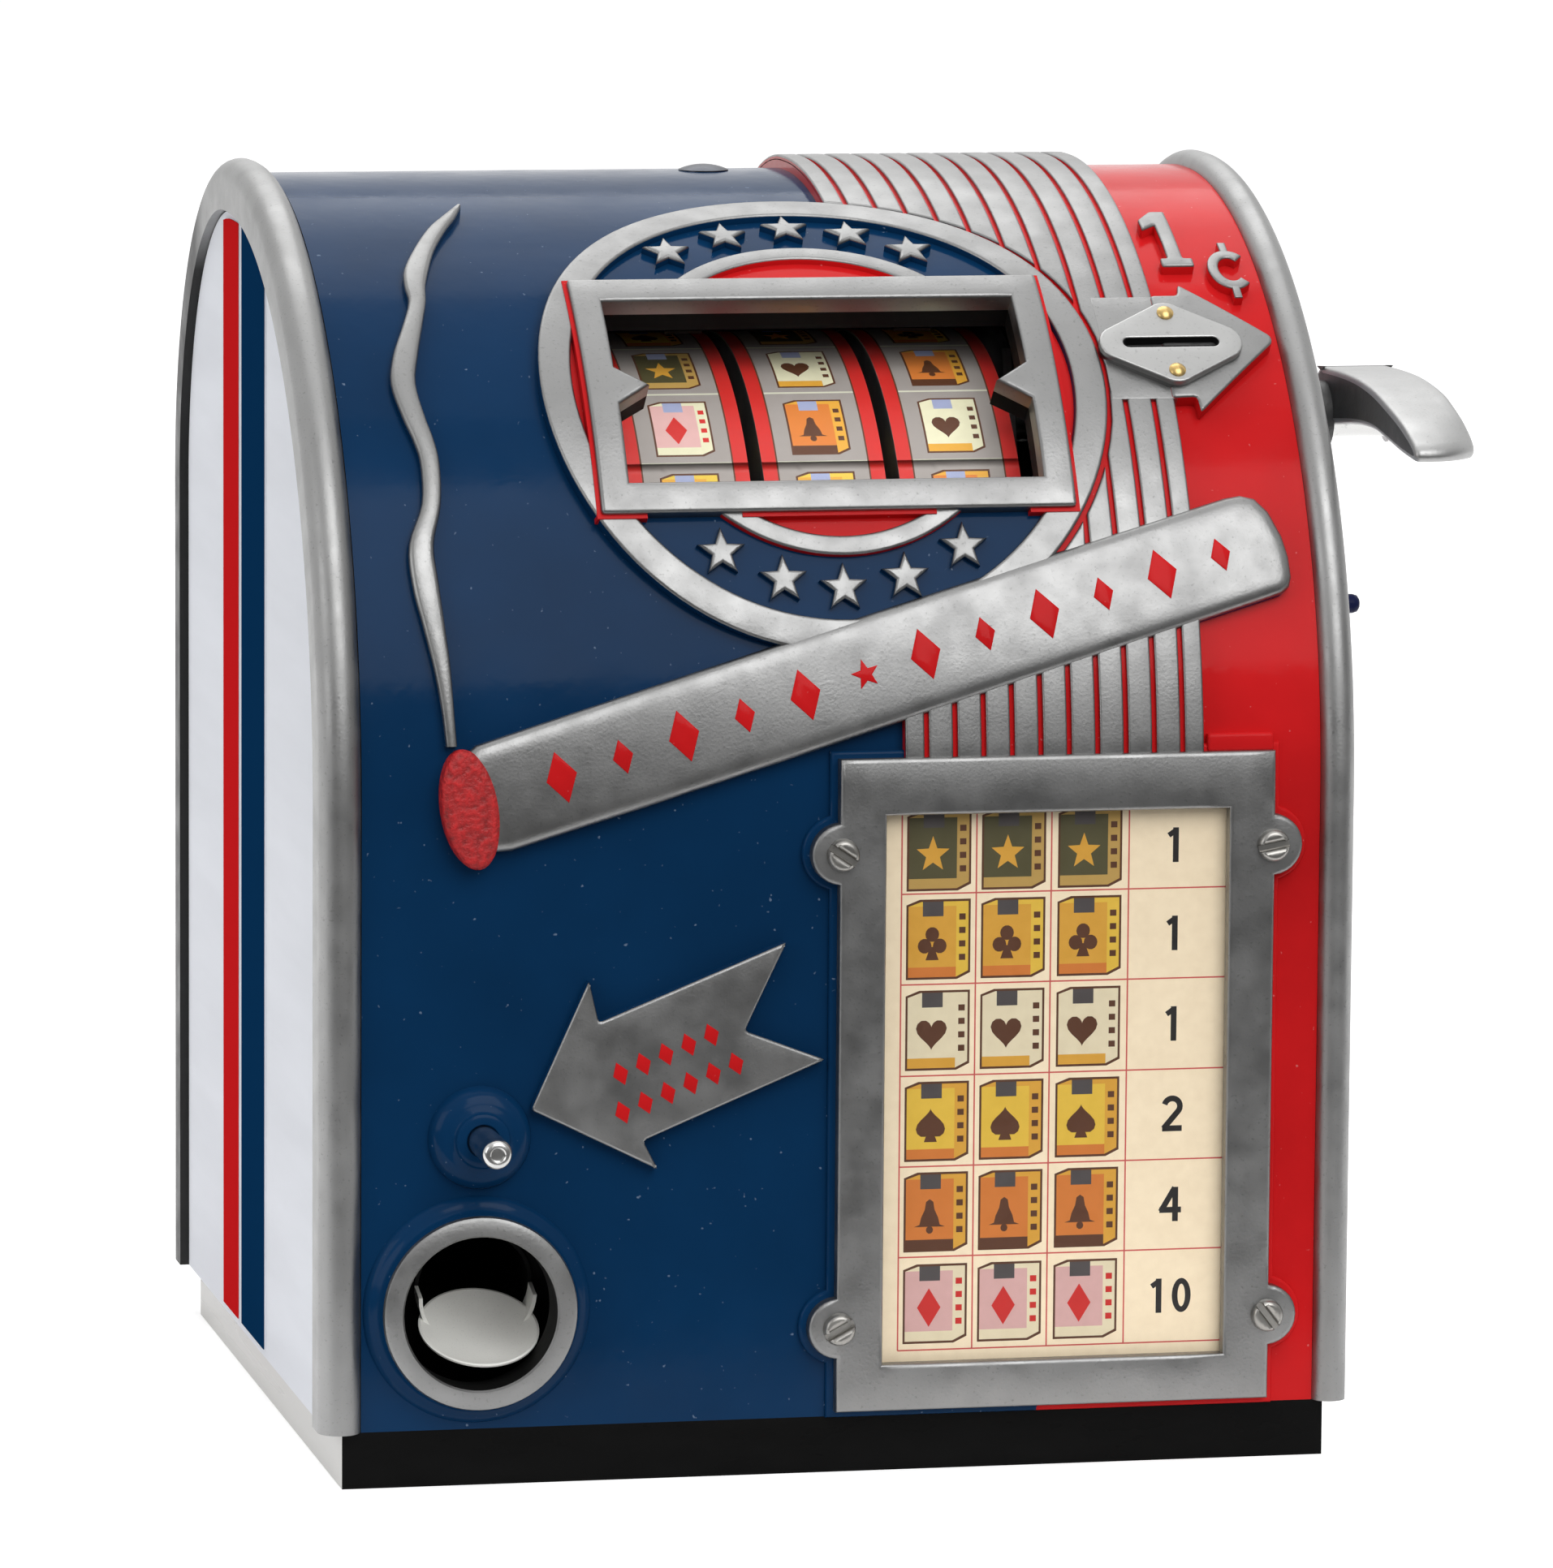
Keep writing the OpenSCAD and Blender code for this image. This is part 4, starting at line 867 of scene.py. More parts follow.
def star_ring(top):
    """Blue ring with its bare bands and stars, and the red field inside it."""
    floor, count = 1.6, 120
    cx, cs = RING
    outer_r, band_r, inner_r, core_r = 61.0, 54.0, 40.5, 36.3
    blue, red, bare = 0, 1, 2
    bm = bmesh.new()
    gap = window_hole(2.0)
    plate(bm, [ellipse(cx, cs, outer_r - 0.5, count=count), gap], [(0, -0.5), (0, floor)], top=blue)
    half = 31.0
    cut = math.degrees(math.asin(half / band_r))
    barrel = ellipse(cx, cs, band_r - 0.05, count=24, start=-cut, sweep=2 * cut)
    barrel += ellipse(cx, cs, band_r - 0.05, count=24, start=180 - cut, sweep=2 * cut)
    plate(bm, [dense(barrel, 4.0), gap], [(0, floor - 0.3), (0, floor + 0.12)], flank=red, top=red)
    band = [ellipse(cx, cs, outer_r, count=count), turned(ellipse(cx, cs, band_r, count=count), hole=True)]
    plate(bm, band, round_edge(top, 0.7, 0.0), pitch=3.5, flank=blue, top=bare, painted=2)
    hidden = 26.5
    for side in (90, 270):
        turn = math.degrees(math.acos(hidden / core_r))
        cap = ellipse(cx, cs, core_r + 0.3, count=40, start=side - turn, sweep=2 * turn)
        plate(bm, [turned(dense(cap, 4.0))], [(0, floor - 0.3), (0, floor + 0.16)], flank=red, top=red)
        wide = math.degrees(math.acos(hidden / inner_r))
        band = ellipse(cx, cs, inner_r, count=40, start=side - wide, sweep=2 * wide)
        band += ellipse(cx, cs, core_r, count=40, start=side + turn, sweep=-2 * turn)
        plate(bm, [turned(dense(band, 4.0))], round_edge(top, 0.7, 0.0), pitch=3.5, flank=red, top=bare,
              painted=2)
    star_r = 5.4
    top_stars = [(-25.6, 274.6), (-12.2, 280.5), (1.8, 283.3), (15.2, 280.8), (27.4, 274.4)]
    low_stars = [(-24.4, 195.6), (-11.6, 189.6), (1.2, 187.6), (14.6, 189.8), (27.6, 196)]
    for x, s in top_stars + low_stars:
        plate(bm, [dense(star(x, s, star_r), 2.2)], round_edge(top + 0.2, 0.7, 1.0, 3),
              flank=blue, top=bare, painted=1)
    relief("star_ring", bm, ["blue", "red", "aluminium"])


def window_frame(rise, ring_top):
    """Frame of the reel window, on red beds over the ring; the lower part of its inner wall is black as
    painted shade.
    """
    w, v = 51.0, 29.7
    wx, ws = WINDOW
    bm = bmesh.new()
    reach, inner, hook, bar = v + 1.0, 25.0, 41.0, 21.0
    corner = [(-w - 1, -reach), (-hook, -reach), (-hook, -inner), (-47, -inner)]
    corner += [(x, -y) for x, y in corner[::-1]]
    beds = [corner, [(-x, -y) for x, y in corner]]
    beds += [oblong(-bar, inner, bar, reach), oblong(-bar, -reach, bar, -inner)]
    for bed in beds:
        plate(bm, [dense([(wx + x, ws + y) for x, y in bed], 4.0)], [(0, 1.0), (0.15, ring_top + 0.28)],
              flank=0, top=0)
    frame_loop = dense(rounded(oblong(wx - w, ws - v, wx + w, ws + v), 0.8, 3), 3.0)
    # Below 0.6 the wall takes the black finish: painted shade
    plate(bm, [frame_loop, window_hole()], [(0, -WALL)] + round_edge(rise, 0.8, 0.6),
          pitch=3.5, flank=2, top=1, painted=1)
    relief("window_frame", bm, ["red", "aluminium", "black"])


class STIMULATOR_OT_ring(bpy.types.Operator):
    """Build the star ring and the frame of the reel window"""

    bl_idname = "stimulator.ring"
    bl_label = "Star ring and window frame"

    def execute(self, context):
        sizes = context.scene.stimulator_casting
        top = sizes.ring_rise / MM
        star_ring(top)
        window_frame(sizes.window_rise / MM, top)
        return {"FINISHED"}


def banner(rise):
    """Slanted bar with rounded ends and a row of motifs."""
    low, high = Vector((-70.8, 134.6)), Vector((91.0, 183.2))
    along = (high - low).normalized()
    across = Vector((-along.y, along.x))
    length, width = (high - low).length, 23.4
    round_end = ((5.0, 0.0), (7.2, 0.04), (8.4, 0.12), (9.4, 0.3), (9.7, 0.5), (9.0, 0.75), (7.2, 0.91),
                 (4.4, 0.98), (1.0, 1.0))
    round_start = ((1.0, 1.0), (4.6, 0.93), (7.0, 0.75), (7.6, 0.5), (6.8, 0.25), (4.0, 0.04))
    end = [low + along * (length + d) + across * (width * t) for d, t in round_end]
    start = [low - along * d + across * (width * t) for d, t in round_start]
    body = [tuple(q) for q in [low] + end + start]
    crown = ((0.1, 1.8), (0.5, 0.9), (1.3, 0.35), (2.6, 0.08), (4.0, 0.0))
    profile = [(0, -0.5)] + [(d, rise - drop) for d, drop in crown]
    bm = bmesh.new()
    plate(bm, [turned(dense(body, 3.0))], profile, pitch=3.5, painted=1)
    middle = low + along * 0.2 + across * (width * 0.5)
    angle = math.degrees(math.atan2(along.y, along.x))
    motif = []
    first, step, count, starred = 14.0, 13.6, 12, 5
    for k in range(count):
        at = middle + along * (first + k * step)
        if k == starred:
            motif.append(star(at.x, at.y, 3.2, angle))
        else:
            size = 5.4 if k % 2 == 0 else 3.6
            motif.append(lozenge(at, along, across, size * 0.62, size))
    edge = [(0, rise - 0.6), (0, rise + 0.1), (0.25, rise + 0.22)]
    for loop in motif:
        plate(bm, [turned(dense(loop, 2.5))], edge, flank=2, top=2)
    relief("banner", bm, ["blue", "aluminium", "red"])


def ember_tip(rise):
    """Rough red tip at the banner's low end."""
    bm = bmesh.new()
    tip = ellipse(-79.6, 143.4, 6.0, 12.6, count=40, tilt=9)
    plate(bm, [tip], round_edge(rise + 0.7, 1.6, -0.5, 5), pitch=2.0, flank=0, top=0)
    relief("ember", bm, ["ember"])


def smoke_ribbon():
    """Wavy half-round ribbon up from the tip."""
    # X, length along the hood and half width, from the tip down
    spine = [
        (-66.8, 297.7, 0.4), (-70.2, 292, 1.5), (-73.5, 286.7, 2.0), (-77.6, 278.3, 2.3),
        (-80.4, 270.7, 2.7), (-81.5, 265, 2.3), (-81.8, 259.8, 1.9), (-83.9, 252.4, 2.2),
        (-86.4, 244.3, 2.7), (-87.8, 236.7, 2.7), (-86.6, 228.5, 2.5), (-85.1, 222.5, 2.3),
        (-84.3, 216.8, 2.1), (-84.9, 207.6, 2.1), (-87.7, 198.7, 2.7), (-87.4, 190, 2.9),
        (-86.2, 181.5, 2.4), (-84.9, 173.1, 1.9), (-84, 164.8, 1.4), (-83.3, 156.5, 1.2),
    ]
    height = 2.6
    right = [(1.0, -0.3), (1.0, 0.55), (0.88, 0.84), (0.62, 0.97)]
    half_round = right + [(-u, t) for u, t in right[::-1]]

    def on_spine(u, at, t):
        x, s, half = at
        return hood_point(x + u * half, s, t * height)

    bm = bmesh.new()
    sweep(bm, half_round, smooth(spine[::-1], 4), on_spine, lambda i: 1 if 1 <= i <= 5 else 0)
    relief("smoke_ribbon", bm, ["blue", "aluminium"], sharp=60)


class STIMULATOR_OT_banner(bpy.types.Operator):
    """Build the slanted banner, its ember and the ribbon of smoke"""

    bl_idname = "stimulator.banner"
    bl_label = "Banner and ribbon"

    def execute(self, context):
        rise = context.scene.stimulator_casting.banner_rise / MM
        banner(rise)
        ember_tip(rise)
        smoke_ribbon()
        return {"FINISHED"}


def arrow_plate():
    """Arrow to the gum ring, with two rows of lozenges."""
    rise = 3.0
    arrow = [(-39.3, 66.4), (-42.6, 72.7), (-3.6, 88.9), (-21, 95.5), (-12.1, 114.2), (-52.2, 98.1),
             (-54.3, 107.1), (-66.6, 79.9)]
    bm = bmesh.new()
    plate(bm, [turned(dense(rounded(arrow, 0.8, 3), 3.0))], round_edge(rise, 0.7), painted=2)
    along = Vector((40, 16)).normalized()
    across = Vector((-along.y, along.x))
    edge = [(0, rise - 0.5), (0, rise + 0.08), (0.2, rise + 0.2)]
    middle, step = Vector((-36.5, 87.4)), 5.2
    for row, count in ((3.9, 5), (-3.9, 6)):
        for k in range(count):
            at = middle + along * (k - (count - 1) / 2) * step + across * row
            plate(bm, [turned(lozenge(at, along, across, 1.7, 2.6))], edge, flank=2, top=2)
    relief("arrow_plate", bm, ["blue", "aluminium", "red"])


def coin_arrow():
    """Arrow under the coin plate, with the plate's seat."""
    tail = oblong(63.8, 229.2, 78.2, 257.5)
    head = [(77.0, 229.2), (82.4, 229.4), (82.7, 225.4), (101.4, 243.4), (101.4, 245.2), (83.7, 260.9),
            (83.0, 257.5), (77.0, 257.5)]
    bm = bmesh.new()
    plate(bm, [dense(tail, 3.0)], round_edge(3.06, 0.3), flank=1)
    plate(bm, [turned(dense(rounded(head, 0.8, 3), 3.0))], round_edge(3.6, 0.7), painted=2)
    plate(bm, [diamond_plate(-0.2), turned(coin_cut(), hole=True)],
          [(0, -WALL - 1), (0, COIN_SEAT)], lay=tangent_point(COIN), flank=1, top=1)
    relief("coin_arrow", bm, ["red", "aluminium"])


def price_mark():
    """Number and sign of the price."""
    digit = [(82.2, 268.4), (89.4, 268.4), (89.4, 271.2), (87.3, 271.2), (87.3, 290.4), (83.9, 290.4),
             (80.7, 286.8), (80.7, 282.4), (83.9, 284.6), (83.9, 271.2), (82.2, 271.2)]
    bm = bmesh.new()
    plate(bm, [turned(dense(rounded(digit, 0.5, 3), 2.5))], round_edge(2.6, 0.6), painted=1)
    cent_at = (97.0, 267.4)
    bow = ellipse(*cent_at, 4.9, 6.6, count=26, start=45, sweep=270)
    bow += ellipse(*cent_at, 2.5, 4.0, count=22, start=315, sweep=-270)
    plate(bm, [turned(dense(bow, 2.0))], round_edge(2.4, 0.5), painted=1)
    for s0, s1 in ((257.8, 261.8), (273.0, 277.0)):
        plate(bm, [oblong(cent_at[0] - 0.9, s0, cent_at[0] + 0.9, s1)], round_edge(2.4, 0.4), painted=1)
    relief("price_mark", bm, ["red", "aluminium"])


def award_seat():
    """Painted seat of the award frame, with a tab over it."""
    bm = bmesh.new()
    seat = [award_outline(1.6), card_outline(*CARD_HALF, hole=True)]
    plate(bm, seat, round_edge(1.5, 0.8), pitch=6.0)
    tab = oblong(78.4, 152.0, 93.0, 156.0)
    plate(bm, [dense(rounded(tab, 0.8, 3), 4.0)], round_edge(2.2, 0.8))
    for face in bm.faces:
        face.material_index = 1 if face.calc_center_median().x > SEAM * MM else 0
    relief("award_seat", bm, ["blue", "red"])


def gum_ring():
    """Ring round the gum opening and the plunger's boss; the inner wall of the opening is black as painted
    shade.
    """
    bm = bmesh.new()
    ring = [(16.3, -WALL), (16.3, 5.5), (16.7, 6.0), (19.7, 6.0), (20.4, 5.6), (20.7, 4.8), (21.0, 2.9),
            (21.6, 2.1), (22.6, 1.6), (23.8, 0.7), (24.4, -0.3), (24.4, -WALL)]
    # The last step, the inner wall of the opening, is black: painted shade
    lathe(bm, ring[::-1], lambda x, s, h: hood_point(CUP[0] + x, CUP[1] + s, h), 72,
          lambda k: 2 if k > 9 else 1 if k > 5 else 0)
    boss = [(11.0, -0.5), (10.9, 0.6), (10.2, 2.0), (9.0, 3.0), (7.6, 3.5), (6.2, 3.7), (5.9, 4.0),
            (5.6, 4.7), (5.0, 5.0), (3.6, 5.0), (3.3, 4.6), (3.3, -WALL)]
    lathe(bm, boss, lambda x, s, h: hood_point(PLUNGER[0] + x, PLUNGER[1] + s, h), 56)
    relief("gum_ring", bm, ["blue", "aluminium", "black"])


class STIMULATOR_OT_badges(bpy.types.Operator):
    """Build the arrow plate, the coin arrow, the price mark, the award seat and the gum ring"""

    bl_idname = "stimulator.badges"
    bl_label = "Arrows, price mark and gum ring"

    def execute(self, context):
        arrow_plate()
        coin_arrow()
        price_mark()
        award_seat()
        gum_ring()
        return {"FINISHED"}


# Prints on the reels and the card


def stroke(points, width):
    """Outline of a line of that width through the points."""
    path = [Vector(p) for p in points]
    left, right = [], []
    for i, p in enumerate(path):
        a = path[max(i - 1, 0)]
        b = path[min(i + 1, len(path) - 1)]
        t = (b - a).normalized()
        n = Vector((-t.y, t.x)) * (width / 2)
        left.append(tuple(p + n))
        right.append(tuple(p - n))
    return turned(left + right[::-1])


def heart(r):
    """Outline of a heart of about that radius."""
    out = []
    for k in range(24):
        t = 2 * math.pi * k / 24
        x = 16 * math.sin(t) ** 3
        y = 13 * math.cos(t) - 5 * math.cos(2 * t) - 2 * math.cos(3 * t) - math.cos(4 * t)
        out.append((x * r / 17, y * r / 17 + 0.1 * r))
    return out


def emblem(kind):
    """Outlines of one of six plain signs, about 1 in size."""
    stem = [(-0.12, -0.2), (0.12, -0.2), (0.4, -0.95), (-0.4, -0.95)]
    if kind == 0:
        return [star(0, 0, 1.05)]
    if kind == 1:
        return [ellipse(0, 0.5, 0.42, count=14), ellipse(-0.46, -0.15, 0.42, count=14),
                ellipse(0.46, -0.15, 0.42, count=14), stem]
    if kind == 2:
        return [heart(1.0)]
    if kind == 3:
        return [[(x, -y + 0.1) for x, y in heart(0.95)], stem]
    if kind == 4:
        right = [(0.22, 0.8), (0.3, 0.35), (0.52, -0.1), (0.62, -0.5), (0.95, -0.62)]
        bell = [(0, 0.95)] + right + [(-x, y) for x, y in right[::-1]]
        return [bell, ellipse(0, -0.8, 0.22, count=10)]
    return [[(0, -1.1), (0.72, 0), (0, 1.1), (-0.72, 0)]]


INK = {
    "black": (0.012, 0.010, 0.010), "brown": (0.10, 0.035, 0.014), "line": (0.62, 0.10, 0.09),
    "red": (0.60, 0.022, 0.018), "amber": (0.72, 0.37, 0.045), "orange": (0.66, 0.20, 0.035),
    "cream": (0.82, 0.72, 0.50), "gold": (0.52, 0.33, 0.09), "moss": (0.085, 0.075, 0.030),
    "pink": (0.70, 0.42, 0.40), "stamp": (0.33, 0.37, 0.55), "reel": (0.335, 0.305, 0.285),
    "slate": (0.075, 0.065, 0.065), "mark": (0.62, 0.62, 0.50), "yellow": (0.80, 0.52, 0.06),
}
# Body, side, sign and base colour of the six boxes, and which sign each has
BOXES = (
    ("moss", "gold", "amber", "gold", 0), ("amber", "yellow", "brown", "orange", 1),
    ("cream", "cream", "brown", "amber", 2), ("yellow", "amber", "brown", "orange", 3),
    ("orange", "amber", "brown", "brown", 4), ("pink", "cream", "red", "cream", 5),
)


def box_print(cx, cy, size, kind, seal):
    """Printed box, seen a little from the right: outlines with their inks, the last on top."""
    body, side, sign, base, which = BOXES[kind]
    slim = 0.94

    def at(loop):
        return [(cx + x * size * slim, cy + y * size) for x, y in loop]

    front = oblong(-0.82, -0.98, 0.52, 0.86)
    flank = [(0.52, -0.98), (0.86, -0.82), (0.86, 0.98), (0.52, 0.86)]
    lid = [(-0.82, 0.86), (0.52, 0.86), (0.86, 0.98), (-0.46, 0.98)]
    edge = [(-0.88, -1.04), (0.55, -1.04), (0.92, -0.87), (0.92, 1.04), (-0.5, 1.04), (-0.88, 0.9)]
    shapes = [(at(edge), "brown"), (at(front), body), (at(flank), side), (at(lid), side),
              (at(oblong(-0.82, -0.98, 0.52, -0.72)), base), (at(oblong(-0.42, 0.6, 0.16, 0.98)), seal)]
    for loop in emblem(which):
        shapes.append((at([(x * 0.46 - 0.15, y * 0.46 - 0.1) for x, y in loop]), sign))
    for y in (-0.55, -0.2, 0.15, 0.5):
        shapes.append((at(oblong(0.6, y, 0.78, y + 0.16)), sign if kind % 2 else "brown"))
    return shapes


def numeral(text, cx, cy, height):
    """Printed number: outlines with their ink, counters in the card's own colour."""
    shapes, w = [], height * 0.17
    step = height * 0.68
    for k, char in enumerate(text):
        x = cx + (k - (len(text) - 1) / 2) * step
        h = height / 2
        if char == "1":
            shapes += [(stroke([(x + 0.02 * h, cy - h), (x + 0.02 * h, cy + h)], w), "black"),
                       (stroke([(x, cy + h - w / 2), (x - 0.4 * h, cy + 0.55 * h)], w * 0.9), "black")]
        elif char == "2":
            path = ellipse(x, cy + 0.45 * h, 0.46 * h, count=14, start=165, sweep=-215)
            shapes += [(stroke(path + [(x - 0.5 * h, cy - h + w / 2)], w), "black"),
                       (oblong(x - 0.58 * h, cy - h, x + 0.58 * h, cy - h + w), "black")]
        elif char == "4":
            shapes += [(stroke([(x + 0.25 * h, cy - h), (x + 0.25 * h, cy + h)], w), "black"),
                       (stroke([(x + 0.22 * h, cy + 0.96 * h), (x - 0.6 * h, cy - 0.42 * h)], w), "black"),
                       (oblong(x - 0.68 * h, cy - 0.5 * h, x + 0.6 * h, cy - 0.5 * h + w), "black")]
        else:
            shapes += [(ellipse(x, cy, 0.56 * h, h, count=28), "black"),
                       (ellipse(x, cy, 0.56 * h - w, h - w, count=28), "card")]
    return shapes


def printed_sheet(name, loop, shapes, ground, thick, lay, pitch, body, replaces, inks, wrap=False):
    """A thin sheet whose front carries the printed shapes."""
    bm = bmesh.new()
    layer = bm.loops.layers.float_color.new("ink")
    co, tris, middle = filled([loop], pitch, [dense(turned(s), pitch) for s, _ in shapes])
    colour = np.tile(np.array(inks[ground]), (len(tris), 1))
    for outline, ink in shapes:
        colour[within(middle, outline)] = inks[ink]
    front = [bm.verts.new(lay(x, y, 0)) for x, y in co]
    back = [bm.verts.new(lay(x, y, -thick)) for x, y in co]
    used = {}
    for t, c in zip(tris, colour):
        for corners, tint in (([front[i] for i in t], c), ([back[i] for i in t[::-1]], inks[ground])):
            face = bm.faces.new(corners)
            for corner in face.loops:
                corner[layer] = (*tint, 1.0)
        for a, b in zip(t, t[1:] + t[:1]):
            used[(a, b)] = True
    low, high = co[:, 1].min(), co[:, 1].max()
    for a, b in used:
        if (b, a) in used:
            continue
        if wrap and abs(co[a][1] - co[b][1]) < 1e-6 and min(co[a][1] - low, high - co[a][1]) < 1e-6:
            continue
        face = bm.faces.new((front[b], front[a], back[a], back[b]))
        for corner in face.loops:
            corner[layer] = (*inks[ground], 1.0)
    bmesh.ops.delete(bm, geom=[v for v in bm.verts if not v.link_faces], context="VERTS")
    return piece(name, bm, ["paper"], body, replaces, sharp=40)


class STIMULATOR_OT_reels(bpy.types.Operator):
    """Print the three reel strips"""

    bl_idname = "stimulator.reels"
    bl_label = "Reel strips"

    def execute(self, context):
        sizes = context.scene.stimulator_print
        radius, half, thick, box_half, line = 64.0, 13.2, 0.4, 7.6, 0.28
        pitch = 2 * math.pi * radius / sizes.symbol_count
        start = radius * sizes.first_row - pitch / 2
        stop = start + pitch * sizes.symbol_count
        band = sizes.edge_band / MM
        # Inks lightened by a third as painted light, for the light the hood keeps off the reels
        inks = {name: shade(ink, 1.35) for name, ink in INK.items()}
        orders = (
            (5, 0, 3, 1, 4, 2, 5, 3, 0, 1), (4, 2, 0, 5, 3, 1, 4, 0, 2, 1), (2, 4, 1, 0, 5, 3, 2, 1, 5, 4),
        )
        for i, (centre, order) in enumerate(zip(REEL_CENTRES, orders), 1):
            shapes = []
            for k in range(sizes.symbol_count):
                s = start + (k + 0.5) * pitch
                edge = start + k * pitch
                shapes.append((oblong(-half, edge - line, half, edge + line), "mark"))
                shapes += box_print(0.0, s - 0.3, box_half, order[k % len(order)], "stamp")
            for side in (-1, 1):
                a, b = sorted((side * half, side * (half - band)))
                shapes.append((oblong(a, start, b, stop), "red"))
                a, b = sorted((side * (half - band), side * (half - band - 0.35)))
                shapes.append((oblong(a, start, b, stop), "brown"))

            def lay(u, v, h, x0=centre):
                a = v / radius
                return Vector((x0 + u, REEL_AXIS[0] - (radius + h) * math.cos(a),
                               REEL_AXIS[1] + (radius + h) * math.sin(a))) * MM

            sheet = dense(oblong(-half, start, half, stop), 2.6)
            printed_sheet(f"strip_{i}", sheet, shapes, "reel", thick, lay, 2.6, f"reel_{i}",
                          [f"reel_strip_{i}"], inks, wrap=True)
        return {"FINISHED"}


def award_card(paper):
    """Printed card: six rows of three boxes and a number."""
    inks = dict(INK, card=paper)
    rows = (141.6, 123.2, 103.9, 84.4, 65.0, 45.6, 25.6)
    columns = (12.9, 29.0, 45.2, 62.0, 83.4)
    values = ("1", "1", "1", "2", "4", "10")
    line, over, box_half, digit_high = 0.32, 3, 8.2, 7.4
    shapes = []
    for z in rows[1:]:
        shapes.append((oblong(columns[0], z - line / 2, columns[-1], z + line / 2), "line"))
    for x in columns[:-1]:
        shapes.append((oblong(x - line / 2, rows[-1], x + line / 2, rows[0] + over), "line"))
    for r, value in enumerate(values):
        z = (rows[r] + rows[r + 1]) / 2
        for c in range(3):
            shapes += box_print((columns[c] + columns[c + 1]) / 2 - 0.2, z - 0.1, box_half, r, "slate")
        shapes += numeral(value, (columns[3] + columns[4]) / 2 - 0.6, z, digit_high)
    thick, lift, pitch = 0.6, 0.2, 9.0

    def lay(u, v, h):
        return hood_point(u, v, h + lift)

    printed_sheet("card", card_outline(*CARD_HALF), shapes, "card", thick, lay, pitch, "case",
                  ["award_card"], inks)


def award_frame():
    """Bare frame round the card."""
    bm = bmesh.new()
    loops = [award_outline(), card_outline(*CARD_SEEN, hole=True)]
    profile = [(0, 1.5), (0, 3.7), (0.12, 4.1), (0.45, 4.38), (1.0, 4.5)]
    plate(bm, loops, profile, pitch=6.0, flank=0, top=0)
    piece("card_frame", bm, ["aluminium"], "case", ["award_frame"])


def slotted_head(bm, lay, r, foot, rise, shank, depth):
    """Domed screw head with a slot along its own X, on a shank."""
    slot = 0.55
    edge = math.degrees(math.asin(slot / r))
    steps = ((0.0, 0.0), (0.05, 0.35), (0.25, 0.68), (0.55, 0.88), (1.0, 1.0))
    for side in (-1, 1):
        loop = ellipse(0, 0, r, count=22, start=edge, sweep=180 - 2 * edge)
        loop = [(side * x, side * y) for x, y in loop]
        plate(bm, [turned(dense(loop, 1.2))], [(d, foot + rise * t) for d, t in steps], lay, 1.2, 0, 0)
    bed, bed_r, low = foot + rise * 0.3, r * 0.97, foot - depth
    lathe(bm, [(0, low), (shank, low), (shank, foot), (bed_r, foot), (bed_r, bed), (0, bed)], lay, 28)


def award_screws():
    """Slotted screws in the frame's ears, each turned its own way."""
    bm = bmesh.new()
    turns = iter((28, -34, -52, 10))
    for x in (-AWARD_EAR[0], AWARD_EAR[0]):
        for z in (-AWARD_EAR[1], AWARD_EAR[1]):
            at = (AWARD[0] + x, AWARD[1] + z)
            a = math.radians(next(turns))

            def lay(u, v, h, at=at, c=math.cos(a), s=math.sin(a)):
                return hood_point(at[0] + u * c - v * s, at[1] + u * s + v * c, h)

            slotted_head(bm, lay, r=3.5, foot=4.5, rise=2.0, shank=1.75, depth=9.0)
    piece("card_screws", bm, ["screw"], "case", ["award_screws"])


class STIMULATOR_OT_award(bpy.types.Operator):
    """Build the award frame, its card and its four screws"""

    bl_idname = "stimulator.award"
    bl_label = "Award card and frame"

    def execute(self, context):
        award_card(tuple(context.scene.stimulator_finishes.card))
        award_frame()
        award_screws()
        return {"FINISHED"}


# Coin plate, gum vender, lever and the CAD pieces that keep their shape


class STIMULATOR_OT_coin_plate(bpy.types.Operator):
    """Build the coin plate"""

    bl_idname = "stimulator.coin_plate"
    bl_label = "Coin plate"

    def execute(self, context):
        flat = tangent_point(COIN)
        slot_half, wide, narrow = 9.2, 1.25, 1.12

        def seated(u, v, h):
            return flat(u, v, h + COIN_SEAT)

        def slot(r, hole):
            ends = ellipse(-slot_half, 0, r, count=9, start=90, sweep=180)
            ends += ellipse(slot_half, 0, r, count=9, start=270, sweep=180)
            return turned(ends, hole)

        bm = bmesh.new()
        face = [dense(diamond_plate(0.0), 2.5), slot(wide, True)]
        plate(bm, face, round_edge(1.4, 0.45, 0.0), seated, 2.5, 0, 0)
        # Black lining of the slot, as painted shade
        slot_shade = [slot(wide, False), slot(narrow, True)]
        plate(bm, slot_shade, [(0, -WALL), (0, 1.3)], seated, None, 1, 1)
        piece("coin_plate_face", bm, ["plate", "black"], "case", ["coin_plate"])
        return {"FINISHED"}


def plunger_rod():
    """Rod with a collar and a hollow end."""
    bm = bmesh.new()
    r, collar = 3.2, 5
    rod = [(0, 59), (r, 59), (r, 103), (collar, 103), (collar, 105), (r, 105), (r, 135.4), (3.05, 136.2),
           (2.7, 136.7), (2.2, 136.95), (1.7, 137), (1.45, 136.8), (1.3, 136.0), (0, 135.8)]
    lathe(bm, rod, lambda u, v, h: Vector((PLUNGER[0] + u, -h, PLUNGER[1] + v)) * MM, 40)
    piece("plunger_rod", bm, ["steel"], "plunger_unit", ["gum_plunger"])


